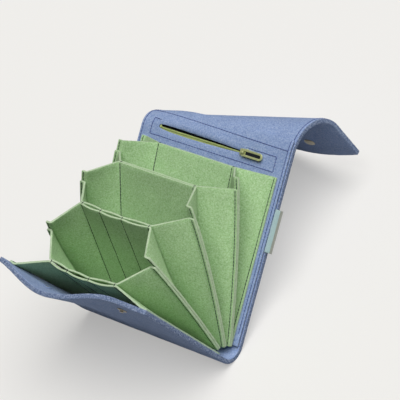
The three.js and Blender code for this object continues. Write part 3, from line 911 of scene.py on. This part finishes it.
def block(bm, matrix, long, wide, low, high, x=0, y=0):
    """A block about x and y, from a low to a high level."""
    middle = Matrix.Translation((x, y, (low + high) / 2))
    place = matrix @ middle @ Matrix.Diagonal((long, wide, high - low, 1))
    return bmesh.ops.create_cube(bm, size=1, matrix=place)["verts"]


def round_ended(stops, bend, half):
    """Outline of a strip with a round end: past the stops on one edge, round the end and back."""
    turns = [math.radians(turn) for turn in range(-90, 91, PULL_TURN)]
    end = [(bend + half * math.cos(turn), half * math.sin(turn)) for turn in turns]
    return [(x, -half) for x in stops] + end + [(x, half) for x in reversed(stops)]


def raise_faces(bm, height):
    """Gives flat faces a thickness."""
    raised = bmesh.ops.extrude_face_region(bm, geom=bm.faces[:])["geom"]
    verts = [item for item in raised if isinstance(item, bmesh.types.BMVert)]
    bmesh.ops.translate(bm, verts=verts, vec=(0, 0, height))
    bmesh.ops.recalc_face_normals(bm, faces=bm.faces)


class NEEDLE_OT_zip_slider(bpy.types.Operator):
    """Casts the zip's slider with its bridge, and the pull that hangs in it"""

    bl_idname = "needle.zip_slider"
    bl_label = "Zip slider and pull"

    def slider(self, place, low, top, metal):
        bm = bmesh.new()
        plate = block(bm, place, PLATE_LONG, PLATE_WIDE, low, top)
        inverse = place.inverted()
        for vert in plate:
            local = inverse @ vert.co
            if local.x < 0:
                local.y *= PLATE_TAPER
                vert.co = place @ local
        block(bm, place, BODY_LONG, CORE_WIDE, CORE_LOW, low + CORE_SINK)
        bridge = top + 2 * BAR_ROOM
        for side in (-1, 1):
            block(bm, place, BODY_LONG, FLANGE_WIDE, FLANGE_LOW, low, y=side * FLANGE_MIDDLE)
            x = side * (BAR_ROOM + POST_LONG / 2)
            block(bm, place, POST_LONG, BRIDGE_WIDE, top - POST_SINK, bridge + POST_RISE, x=x)
        block(bm, place, 2 * (BAR_ROOM + POST_LONG), BRIDGE_WIDE, bridge, bridge + BRIDGE_HIGH)
        soften(bm, bm.edges[:], SLIDER_EDGE)
        obj = new_object("zip_slider_body", bm, (metal,))
        carry(obj, "zip_slider", "zip_slider")

    def pull(self, size, place, height, metal):
        """A rounded frame, bridged between its outline and its window."""
        half_width = size.pull_width / 2
        bend = size.pull - half_width
        bm = bmesh.new()
        rims = []
        for half, start in ((half_width, -PULL_BAR), (half_width - size.pull_rim, PULL_BAR)):
            outline = round_ended((start, bend / 2), bend, half)
            ring = [bm.verts.new((x, y, height - PULL_THICKNESS / 2)) for x, y in outline]
            rims += [bm.edges.new(pair) for pair in zip(ring, ring[1:] + ring[:1])]
        bmesh.ops.bridge_loops(bm, edges=rims)
        raise_faces(bm, PULL_THICKNESS)
        sharp = [edge for edge in bm.edges if edge.calc_face_angle(0) > PULL_CORNER]
        soften(bm, sharp, PULL_EDGE)
        bm.transform(place)
        obj = new_object("zip_pull_frame", bm, (metal,))
        carry(obj, "zip_pull", "zip_pull")

    def inlay(self, size, place, height, dark):
        """A dark piece in the pull's window, clear of the bridge: painted shade where the window shows
        shadow.
        """
        half_width = size.pull_width / 2
        inner = half_width - size.pull_rim + WINDOW_SHADE_TUCK
        outline = round_ended((WINDOW_SHADE_START,), size.pull - half_width, inner)
        bm = bmesh.new()
        bm.faces.new([bm.verts.new((x, y, height - WINDOW_SHADE_THICKNESS / 2)) for x, y in outline])
        raise_faces(bm, WINDOW_SHADE_THICKNESS)
        bm.transform(place)
        obj = new_object("zip_pull_inlay", bm, (dark,), smooth=False)
        carry(obj, "zip_pull")

    def execute(self, context):
        size = context.scene.needle_zip
        shades = context.scene.needle_colours
        metal = finish_of("zip_metal", satin_metal, shades.zip_metal, roughness=0.38, metallic=0.55)
        place = BAG @ seat(rolled, size.slider, size.height)
        low = size.lift + size.felt + SLIDER_GAP
        top = low + PLATE_HIGH
        self.slider(place, low, top, metal)
        self.pull(size, place, top + BAR_ROOM, metal)
        # The pull's window is filled in the pocket's near-black: painted shade
        dark = finish_of("pull_inlay", satin_metal, shades.lining, roughness=0.5, metallic=0.0)
        self.inlay(size, place, top + BAR_ROOM, dark)
        return {"FINISHED"}


FACES = ("front", "rear")
# Divider sheets end this far inside their seams, and are sewn this far inside them
PANEL_INSET = 2 * MM
SEAM_INSET = 2.8 * MM
# The two front dividers are sewn into needle channels and sag
LAST_CHANNELLED = 2
# How steeply the channels open towards their tops, and how much of it the plain dividers have
GAPE_POWER = 5
PLAIN_GAPE = 0.35
SHEET_COLUMNS = 44
SHEET_ROWS = 48


def divider_height(number):
    dividers = bpy.context.scene.needle_dividers
    return dividers.height - (len(DIVIDERS) - number) * dividers.step


def sheet_offset(face):
    """Distance of a sheet's middle from its divider's middle, positive to the front."""
    dividers = bpy.context.scene.needle_dividers
    offset = (dividers.felt + dividers.gap) / 2
    return offset if face == "front" else -offset


def seam_half(index):
    return bpy.context.scene.needle_dividers.seams[index] / 2


def channel_seams(index):
    """Places of the seams across a divider: its two ends, and the needle channels on the two front ones."""
    stitches = bpy.context.scene.needle_stitches
    half = seam_half(index) - SEAM_INSET
    if DIVIDERS[index][0] > LAST_CHANNELLED:
        return (-half, half)
    return (-half, stitches.channel_left, stitches.channel_right, half)


def sheet_point(index, face, x, r):
    """A point on the middle of a divider sheet, with its sag and the gape of its channels."""
    number, _, hinge, lean = DIVIDERS[index]
    dividers = bpy.context.scene.needle_dividers
    rise = r / divider_height(number)
    sag = 0.0
    swell = PLAIN_GAPE * dividers.gape
    if number <= LAST_CHANNELLED:
        sag = dividers.sag / number * rise ** 2 * (1 - (x / seam_half(index)) ** 2)
        swell = dividers.gape
    gape = 0.0
    seams = channel_seams(index)
    for left, right in zip(seams, seams[1:]):
        if left < x < right:
            gape = swell * rise ** GAPE_POWER * math.sin(math.pi * (x - left) / (right - left))
    offset = sheet_offset(face)
    place = joint_foot(hinge) + upward(lean) * r
    place += outward(lean) * (offset + sag + math.copysign(gape, offset))
    place.x = x
    return place


class NEEDLE_OT_dividers(bpy.types.Operator):
    """Cuts the two sheets of each divider between its seams"""

    bl_idname = "needle.dividers"
    bl_label = "Divider sheets"

    def sheet(self, context, index, face):
        dividers = context.scene.needle_dividers
        number, body, _, _ = DIVIDERS[index]
        half = seam_half(index) - PANEL_INSET
        height = divider_height(number)

        def surface(u, v):
            return sheet_point(index, face, lerp(-half, half, u), lerp(dividers.lift, height, v))

        name = f"divider_{number}_{face}"
        sheet = felt_sheet(
            f"{name}_felt", surface, SHEET_COLUMNS, SHEET_ROWS, dividers.felt, green_felts(), THIN_FUZZ,
        )
        carry(sheet, body, f"{name}_sheet")

    def execute(self, context):
        for index in range(len(DIVIDERS)):
            for face in FACES:
                self.sheet(context, index, face)
        return {"FINISHED"}


# Shares of a gusset's width at which its two rounded corners start and end, and their reach
FIRST_CORNER = (0.06, 0.2)
SECOND_CORNER = (0.76, 0.9)
CORNER_REACH = 1.6 * MM
GUSSET_COLUMNS = 34
GUSSET_ROWS = 40
WIDTH_KNOTS = 40
# The fixed point of the gussets' fold: its height, and its distance from the middle of the front panel and
# from the back panel's inner face; it is worked out but the gussets do not fold
FOLD_HEIGHT = 80 * MM
FRONT_FOLD_ROOM = 4 * MM
BACK_FOLD_ROOM = 5 * MM


def part_of(share, stretch):
    low, high = stretch
    return (share - low) / (high - low)


def round_corner(before, corner, after, step):
    """A point on the curve that rounds a corner."""
    return before.lerp(corner, step).lerp(corner.lerp(after, step), step)


def rounded_path(start, bend, turn, end, share):
    """A point on a path with two rounded corners."""
    first_in = bend + (start - bend).normalized() * CORNER_REACH
    first_out = bend + (turn - bend).normalized() * CORNER_REACH
    second_in = turn + (bend - turn).normalized() * CORNER_REACH
    second_out = turn + (end - turn).normalized() * CORNER_REACH
    if share < FIRST_CORNER[0]:
        return start.lerp(first_in, part_of(share, (0, FIRST_CORNER[0])))
    if share < FIRST_CORNER[1]:
        return round_corner(first_in, bend, first_out, part_of(share, FIRST_CORNER))
    if share < SECOND_CORNER[0]:
        return first_out.lerp(second_in, part_of(share, (FIRST_CORNER[1], SECOND_CORNER[0])))
    if share < SECOND_CORNER[1]:
        return round_corner(second_in, turn, second_out, part_of(share, SECOND_CORNER))
    return second_out.lerp(end, part_of(share, (SECOND_CORNER[1], 1)))


def gusset_surface(index, face, side):
    """A gusset from its seam to its sewn edge, on the next gusset, the pocket panel or the front panel."""
    dividers = bpy.context.scene.needle_dividers
    cover = bpy.context.scene.needle_cover
    pocket = bpy.context.scene.needle_zip
    half = seam_half(index)
    seam_room = dividers.felt / 2 + dividers.gap
    outer = side * dividers.width / 2
    height = divider_height(DIVIDERS[index][0])
    neighbour = index + 1 if face == "front" else index - 1

    def edge(r):
        if neighbour < 0:
            lift = pocket.lift + pocket.felt + dividers.gap + dividers.felt / 2
            return rolled(outer - side * dividers.flange, r, lift), rolled(outer, r, lift)
        if neighbour >= len(DIVIDERS):
            lift = -(cover.felt / 2 + dividers.gap + dividers.felt / 2)
            return front_surface(outer - side * dividers.flange, r, lift), front_surface(outer, r, lift)
        other = "rear" if face == "front" else "front"
        mine = sheet_point(index, face, side * (half + seam_room), r)
        theirs = sheet_point(neighbour, other, side * (seam_half(neighbour) + seam_room), r)
        spread = mine - theirs
        spread.x = 0
        reach = math.sqrt(dividers.gusset ** 2 - spread.length_squared / 4)
        tip = mine.lerp(theirs, 0.5) + spread.normalized() * (dividers.felt + dividers.gap) / 2
        tip.x += side * reach
        inner = tip.copy()
        inner.x -= side * dividers.flange
        return inner, tip

    def surface(u, v):
        r = lerp(dividers.lift, height, v)
        start = sheet_point(index, face, side * (half - PANEL_INSET), r)
        bend = sheet_point(index, face, side * half, r)
        turn, end = edge(r)
        return rounded_path(start, bend, turn, end, u)

    return surface


def gusset_width(surface):
    """Width of a gusset along its path, at the middle of its height."""
    return path_length([surface(k / WIDTH_KNOTS, 0.5) for k in range(WIDTH_KNOTS + 1)])


def fold_gusset(obj, index, face):
    """Sets a gusset, or the stitches on it, on the body that carries it and gives it a mesh of its own; it
    does not fold as the dividers shut.
    """
    _, body, hinge, lean = DIVIDERS[index]
    joint = hinge
    if face == "front" and index == len(DIVIDERS) - 1:
        body, joint = "front_panel", "front_hinge"
        lean = bpy.context.scene.needle_cover.front_angle
        anchor = front_surface(0, FOLD_HEIGHT, -FRONT_FOLD_ROOM)
    elif face == "rear" and index == 0:
        body, lean = "back_cover", 0
        anchor = rolled(0, FOLD_HEIGHT, BACK_FOLD_ROOM)
    else:
        anchor = joint_foot(hinge) + outward(lean) * sheet_offset(face)
        if face == "front":
            joint = DIVIDERS[index + 1][2]
    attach(obj, body)
    BAG.to_3x3() @ outward(lean)
    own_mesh(obj)


def gussets_of(number):
    """The gussets of one divider: their face, side and name."""
    for face in FACES:
        for side_name, side in SIDES:
            yield face, side, f"gusset_{number}_{face}_{side_name}"


class NEEDLE_OT_gussets(bpy.types.Operator):
    """Folds the gussets at both sides of each divider sheet"""

    bl_idname = "needle.gussets"
    bl_label = "Side gussets"

    def gusset(self, context, index, face, side, name):
        dividers = context.scene.needle_dividers
        number = DIVIDERS[index][0]
        surface = gusset_surface(index, face, side)
        sheet = felt_sheet(
            f"{name}_felt", surface, GUSSET_COLUMNS, GUSSET_ROWS, dividers.felt, green_felts(), THIN_FUZZ,
        )
        fold_gusset(sheet, index, face)
        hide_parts(name)
        flat = (gusset_width(surface), divider_height(number) - dividers.lift)

    def execute(self, context):
        for index, (number, _, _, _) in enumerate(DIVIDERS):
            for face, side, name in gussets_of(number):
                self.gusset(context, index, face, side, name)
        return {"FINISHED"}


# Ends of the seams up a divider: above its lower edge and below its top
SEAM_START = 2 * MM
SEAM_END = 0.5 * MM
# The row along a gusset's sewn edge, in shares of its width and of its height
TIP_ROW = 0.945
TIP_START, TIP_END = 0.01, 0.995


class NEEDLE_OT_divider_seams(bpy.types.Operator):
    """Sews the dividers: their seams and needle channels, and the edges of the gussets"""

    bl_idname = "needle.divider_seams"
    bl_label = "Divider stitches"

    def channels(self, context, index):
        dividers = context.scene.needle_dividers
        number, body, _, lean = DIVIDERS[index]
        height = divider_height(number)
        depth = dividers.felt / 2
        bm = bmesh.new()
        for x in channel_seams(index):
            ends = []
            for face, direction in zip(FACES, (1, -1)):
                def surface(u, v, face=face):
                    return sheet_point(index, face, u, v)

                def seam(t, x=x):
                    return x, t

                start = dividers.lift + SEAM_START
                sew_row(bm, surface, direction * depth, seam, start, height - SEAM_END)
                ends.append(surface(x, height) + outward(lean) * direction * depth)
            front, rear = ends
            stitch(bm, (front + rear) * 0.5, (rear - front) * 0.5, upward(lean), BAR_RISE)
        obj = new_object(f"divider_{number}_stitches", bm, (green_thread(),))
        carry(obj, body)

    def tips(self, context, index, face, side, name):
        depth = context.scene.needle_dividers.felt / 2
        surface = gusset_surface(index, face, side)
        bm = bmesh.new()

        def row(t):
            return TIP_ROW, t

        for sign in (-1, 1):
            sew_row(bm, surface, sign * depth, row, TIP_START, TIP_END)
        obj = new_object(f"{name}_stitches", bm, (green_thread(),))
        fold_gusset(obj, index, face)

    def execute(self, context):
        for index, (number, _, _, _) in enumerate(DIVIDERS):
            self.channels(context, index)
            for face, side, name in gussets_of(number):
                self.tips(context, index, face, side, name)
        return {"FINISHED"}


# Rows of stitches on the cover: the box round the zip, the row above it and those along the edges
BOX_LOW, BOX_HIGH, BOX_HALF = 184 * MM, 200 * MM, 84 * MM
TOP_ROW = 209 * MM
EDGE_ROW = 95.5 * MM
EDGE_ROW_START = 16 * MM
# The edge rows stop this far from the pocket panel's upper edge and from the end of the flap
PANEL_STEP = 1 * MM
FLAP_MARGIN = 5 * MM


class NEEDLE_OT_cover_seams(bpy.types.Operator):
    """Sews the zip pocket to the back and topstitches the edges of the flap"""

    bl_idname = "needle.cover_seams"
    bl_label = "Cover stitches"

    def execute(self, context):
        cover = context.scene.needle_cover
        pocket = context.scene.needle_zip
        panel = rolled_at(pocket.lift + pocket.felt)
        flap = rolled_at(0)
        bm = bmesh.new()

        def level(s):
            return lambda x: (x, s)

        def upright(x):
            return lambda s: (x, s)

        for s in (BOX_LOW, BOX_HIGH):
            sew_row(bm, panel, 0, level(s), -BOX_HALF, BOX_HALF)
        for side in (-1, 1):
            edge = upright(side * EDGE_ROW)
            sew_row(bm, panel, 0, upright(side * BOX_HALF), BOX_LOW, BOX_HIGH)
            sew_row(bm, panel, 0, edge, EDGE_ROW_START, pocket.top - PANEL_STEP)
            sew_row(bm, flap, 0, edge, pocket.top + PANEL_STEP, cover.reach - FLAP_MARGIN)
        sew_row(bm, panel, 0, level(TOP_ROW), -EDGE_ROW, EDGE_ROW)
        obj = new_object("cover_stitches", bm, (blue_thread(),))
        bend_with_flap(obj)
        return {"FINISHED"}


# Turned pieces: the rounding of their corners, and the corners that are rounded
TURNED_EDGE = 0.18 * MM
TURNED_CORNER = math.radians(35)
TURNED_SEGMENTS = 2
TURNED_MERGE = 0.01 * MM
SNAP_GAP = 0.3 * MM
# The cap's dome, as shares of its radius and of its height from the rim
DOME_HEIGHT = 1.6 * MM
DOME = ((0, 1), (0.3, 0.97), (0.55, 0.85), (0.78, 0.6), (0.93, 0.3), (1, 0.05))
RIM_SHARE = 0.96
SEAT_DEPTH = 0.2 * MM
SHANK_RADIUS = 1.9 * MM
SHANK_RISE = 1.2 * MM
STUD_FOOT = 0.8 * MM
FLANGE_RADIUS = 5 * MM
BORE_RADIUS = 2.2 * MM
# Outlines in millimetres, radius and height: the socket over its flange, the stud and the plate off
# the felt
SOCKET = ((5.1, 1.0), (4.6, 1.9), (3.9, 2.6), (3.1, 2.7), (2.6, 2.3), (2.2, 1.4))
STUD = (
    (5.1, 0.35), (4.4, 0.75), (2.2, 0.85), (1.8, 1.2), (2.4, 1.8), (2.2, 2.2), (1.4, 2.4), (0, 2.4),
)
PLATE = ((2.2, 0), (2.2, 0.7), (4.4, 0.8), (5, 0.4), (5, 0), (2.2, 0))


def turned(name, outline, place, material, body, node):
    """A round piece spun from its outline about its z axis."""
    bm = bmesh.new()
    verts = [bm.verts.new((r, 0, z)) for r, z in outline]
    edges = [bm.edges.new(pair) for pair in zip(verts, verts[1:])]
    bmesh.ops.spin(
        bm, geom=verts + edges, cent=(0, 0, 0), axis=(0, 0, 1), angle=2 * math.pi,
        steps=bpy.context.scene.needle_snaps.steps, use_merge=True,
    )
    bmesh.ops.remove_doubles(bm, verts=bm.verts, dist=TURNED_MERGE)
    bmesh.ops.recalc_face_normals(bm, faces=bm.faces)
    sharp = [edge for edge in bm.edges if edge.is_manifold and edge.calc_face_angle(0) > TURNED_CORNER]
    soften(bm, sharp, TURNED_EDGE, TURNED_SEGMENTS)
    bm.transform(BAG @ place)
    bmesh.ops.recalc_face_normals(bm, faces=bm.faces)
    carry(new_object(name, bm, (material,)), body, node)


def in_millimetres(outline, level=0.0, direction=1):
    """An outline given in millimetres, from a level and up or down."""
    return [(r * MM, level + direction * z * MM) for r, z in outline]


class NEEDLE_OT_snaps(bpy.types.Operator):
    """Sets the snaps: caps and sockets on the flap, studs and plates on the front panel"""

    bl_idname = "needle.snaps"
    bl_label = "Snap fasteners"

    def on_flap(self, context, side_name, x, metal):
        size = context.scene.needle_snaps
        cover = context.scene.needle_cover
        place = seat(rolled_at(0), x, cover.reach - size.from_end)
        shank_end = cover.felt + SNAP_GAP + SHANK_RISE
        rim = -SNAP_GAP + SEAT_DEPTH
        cap = [(r * size.cap_radius, -SNAP_GAP - z * DOME_HEIGHT) for r, z in DOME]
        cap += [(RIM_SHARE * size.cap_radius, rim), (SHANK_RADIUS, rim)]
        cap += [(SHANK_RADIUS, shank_end), (0, shank_end)]
        outer_face = place @ Matrix.Translation((0, 0, -cover.felt))
        turned(f"snap_cap_{side_name}_dome", cap, outer_face, metal, "flap", f"snap_cap_{side_name}")
        foot = (BORE_RADIUS, SNAP_GAP)
        socket = [foot, (FLANGE_RADIUS, SNAP_GAP - SEAT_DEPTH), *in_millimetres(SOCKET), foot]
        turned(f"snap_socket_{side_name}_ring", socket, place, metal, "flap", f"snap_socket_{side_name}")

    def on_front(self, context, side_name, x, metal, enamel):
        size = context.scene.needle_snaps
        place = seat(front_surface, x, size.stud_height)
        face = context.scene.needle_cover.felt / 2 + SNAP_GAP
        foot = -face - STUD_FOOT
        stud = [(0, foot), (SHANK_RADIUS, foot)]
        stud += [(SHANK_RADIUS, face - SEAT_DEPTH), (FLANGE_RADIUS, face - SEAT_DEPTH)]
        stud += in_millimetres(STUD, face)
        turned(f"snap_stud_{side_name}_post", stud, place, metal, "front_panel", f"snap_stud_{side_name}")
        plate = in_millimetres(PLATE, -face, -1)
        node = f"snap_plate_{side_name}"
        turned(f"{node}_washer", plate, place, enamel, "front_panel", node)

    def execute(self, context):
        shades = context.scene.needle_colours
        metal = finish_of("snap_metal", satin_metal, shades.snap_metal, roughness=0.36, metallic=0.85)
        enamel = finish_of(
            "blue_enamel", satin_metal, scaled(shades.blue, 0.85), roughness=0.8, metallic=0.0,
        )
        for side_name, side in SIDES:
            x = side * context.scene.needle_snaps.spacing / 2
            self.on_flap(context, side_name, x, metal)
            self.on_front(context, side_name, x, metal, enamel)
        return {"FINISHED"}


# The label: how far it is tucked under the dividers' edge, its lift, curl, thickness and hem
LABEL_TUCK = 9 * MM
LABEL_LIFT = 0.7 * MM
LABEL_CURL = 0.8 * MM
LABEL_THICKNESS = 0.8 * MM
LABEL_HEM = 2.5 * MM
LABEL_FUZZ = 0.1 * MM
LABEL_COLUMNS = 16
LABEL_ROWS = 30
RIBS_OF_LABEL = 620


class NEEDLE_OT_label(bpy.types.Operator):
    """Tucks the blank woven label into the right edge of the back"""

    bl_idname = "needle.label"
    bl_label = "Side label"

    def execute(self, context):
        size = context.scene.needle_snaps
        edge = context.scene.needle_cover.width / 2
        shades = context.scene.needle_colours
        inner = context.scene.needle_dividers.width / 2 - LABEL_TUCK
        outer = edge + size.label_show
        cloth = finish_of("label_cloth", woven, shades.label, ribs_scale=RIBS_OF_LABEL)
        hem = finish_of("label_hem", woven, shades.label_hem, ribs_scale=RIBS_OF_LABEL)

        def surface(u, v):
            x = lerp(inner, outer, u)
            curl = LABEL_CURL * max(0, (x - edge) / size.label_show) ** 2
            s = lerp(size.label_low, size.label_low + size.label_length, v)
            return rolled(x, s, LABEL_LIFT + curl)

        sheet = felt_sheet(
            "side_label_cloth", surface, LABEL_COLUMNS, LABEL_ROWS, LABEL_THICKNESS, (cloth, hem, hem),
            LABEL_FUZZ,
        )
        hem_start = outer - LABEL_HEM
        for polygon in sheet.data.polygons:
            polygon.material_index = int((BAG.inverted() @ polygon.center).x > hem_start)
        carry(sheet, "back_cover", "side_label")
        return {"FINISHED"}


# Share of the floor's paleness that is its own and not the lamps'
FLOOR_GLOW = 0.47
FLOOR_HALF = 6
FLOOR_GRAIN = 0.995
SKY_COLOUR = (1.0, 0.995, 0.985, 1)
SKY_STRENGTH = 0.03
WINDOW_ENERGY = 3.4
WINDOW_ANGLE = math.radians(54)
WINDOW_COLOUR = (1.0, 0.99, 0.97)
WINDOW_DIRECTION = Vector((-0.33, -0.1, -0.93))
# The camera in the bag's frame: its axes, and the bag's origin along them in millimetres
VIEW_RIGHT = Vector((0.7555, 0.6021, 0.2584))
VIEW_DOWN = Vector((0.2553, 0.0927, -0.9624))
VIEW_AHEAD = Vector((-0.6034, 0.793, -0.0837))
VIEW_OFFSET = (-35, 127.8, 2541.4)
# Focal length and width of the picture in pixels, and the sensor's width in millimetres
FOCAL_PIXELS = 2431.68
PICTURE_PIXELS = 400
SENSOR_WIDTH = 36
VIEW_DEPTH = 20


class NEEDLE_OT_stage(bpy.types.Operator):
    """Lays the pale floor and sets the soft lights and the camera"""

    bl_idname = "needle.stage"
    bl_label = "Floor, lights and camera"

    def math_node(self, tree, operation, first):
        node = tree.nodes.new("ShaderNodeMath")
        node.operation = operation
        tree.links.new(first, node.inputs[0])
        return node

    def floor(self, context):
        bm = bmesh.new()
        bmesh.ops.create_grid(bm, x_segments=2, y_segments=2, size=FLOOR_HALF)
        material, tree, shader, place = nodes_of("pale_floor")
        shade = context.scene.needle_colours.floor
        grain = noise_node(tree, place, scale=3, detail=2, rough=0.5)
        lit = 1 - FLOOR_GLOW
        stops = ((0.2, scaled(shade, FLOOR_GRAIN * lit)), (0.8, scaled(shade, lit)))
        tree.links.new(ramp_node(tree, grain, stops), shader.inputs["Base Color"])
        # The floor is pale to the camera and in reflections, and throws less light back up
        rays = tree.nodes.new("ShaderNodeLightPath")
        seen = rays.outputs["Is Camera Ray"]
        for kind in ("Is Glossy Ray", "Is Transmission Ray"):
            either = self.math_node(tree, "MAXIMUM", seen)
            tree.links.new(rays.outputs[kind], either.inputs[1])
            seen = either.outputs["Value"]
        glow = self.math_node(tree, "MULTIPLY", seen)
        glow.inputs[1].default_value = FLOOR_GLOW
        tree.links.new(glow.outputs["Value"], shader.inputs["Emission Strength"])
        set_inputs(shader, {
            "Emission Color": (*shade[:3], 1), "Roughness": 0.9, "Specular IOR Level": 0.1,
        })
        new_object("floor", bm, (material,), smooth=False)

    def lights(self, context):
        world = bpy.data.worlds.new("soft_room")
        world.use_nodes = True
        sky = world.node_tree.nodes["Background"]
        set_inputs(sky, {"Color": SKY_COLOUR, "Strength": SKY_STRENGTH})
        context.scene.world = world
        light = bpy.data.lights.new("window", "SUN")
        light.energy = WINDOW_ENERGY
        light.angle = WINDOW_ANGLE
        light.color = WINDOW_COLOUR
        lamp = bpy.data.objects.new("window", light)
        lamp.rotation_euler = WINDOW_DIRECTION.to_track_quat("-Z", "Y").to_euler()
        context.scene.collection.objects.link(lamp)

    def camera(self, context):
        """The camera is placed in the bag's frame, as fitted to the seams seen from its viewpoint."""
        right, down, ahead = VIEW_OFFSET
        eye = -(VIEW_RIGHT * right + VIEW_DOWN * down + VIEW_AHEAD * ahead) * MM
        data = bpy.data.cameras.new("photo_view")
        data.sensor_width = SENSOR_WIDTH
        data.lens = SENSOR_WIDTH * FOCAL_PIXELS / PICTURE_PIXELS
        data.clip_end = VIEW_DEPTH
        camera = bpy.data.objects.new("photo_view", data)
        camera.matrix_world = BAG @ frame_of((VIEW_RIGHT, -VIEW_DOWN, -VIEW_AHEAD), eye)
        context.scene.collection.objects.link(camera)
        context.scene.camera = camera

    def execute(self, context):
        self.floor(context)
        self.lights(context)
        self.camera(context)
        context.scene.view_settings.view_transform = "Standard"
        return {"FINISHED"}


class NEEDLE_PT_panel(bpy.types.Panel):
    """Lists the steps that make the bag"""

    bl_idname = "NEEDLE_PT_panel"
    bl_label = "Needle bag"
    bl_space_type = "VIEW_3D"
    bl_region_type = "UI"
    bl_category = "Needle bag"

    def draw(self, context):
        for operator in OPERATORS:
            self.layout.operator(operator.bl_idname)
        for name, _ in GROUPS:
            group = getattr(context.scene, name)
            box_layout = self.layout.box()
            for key in group.__annotations__:
                box_layout.prop(group, key)


OPERATORS = (
    NEEDLE_OT_stage,
    NEEDLE_OT_cover,
    NEEDLE_OT_zip_pocket,
    NEEDLE_OT_zip_slider,
    NEEDLE_OT_dividers,
    NEEDLE_OT_gussets,
    NEEDLE_OT_divider_seams,
    NEEDLE_OT_cover_seams,
    NEEDLE_OT_snaps,
    NEEDLE_OT_label,
)


def register():
    for name, group in GROUPS:
        bpy.utils.register_class(group)
        setattr(bpy.types.Scene, name, PointerProperty(type=group))
    for operator in OPERATORS:
        bpy.utils.register_class(operator)
    bpy.utils.register_class(NEEDLE_PT_panel)


def unregister():
    bpy.utils.unregister_class(NEEDLE_PT_panel)
    for operator in reversed(OPERATORS):
        bpy.utils.unregister_class(operator)
    for name, group in reversed(GROUPS):
        delattr(bpy.types.Scene, name)
        bpy.utils.unregister_class(group)


def main():
    register()
    for operator in OPERATORS:
        family, step = operator.bl_idname.split(".")
        getattr(getattr(bpy.ops, family), step)()


if __name__ == "__main__":
    main()
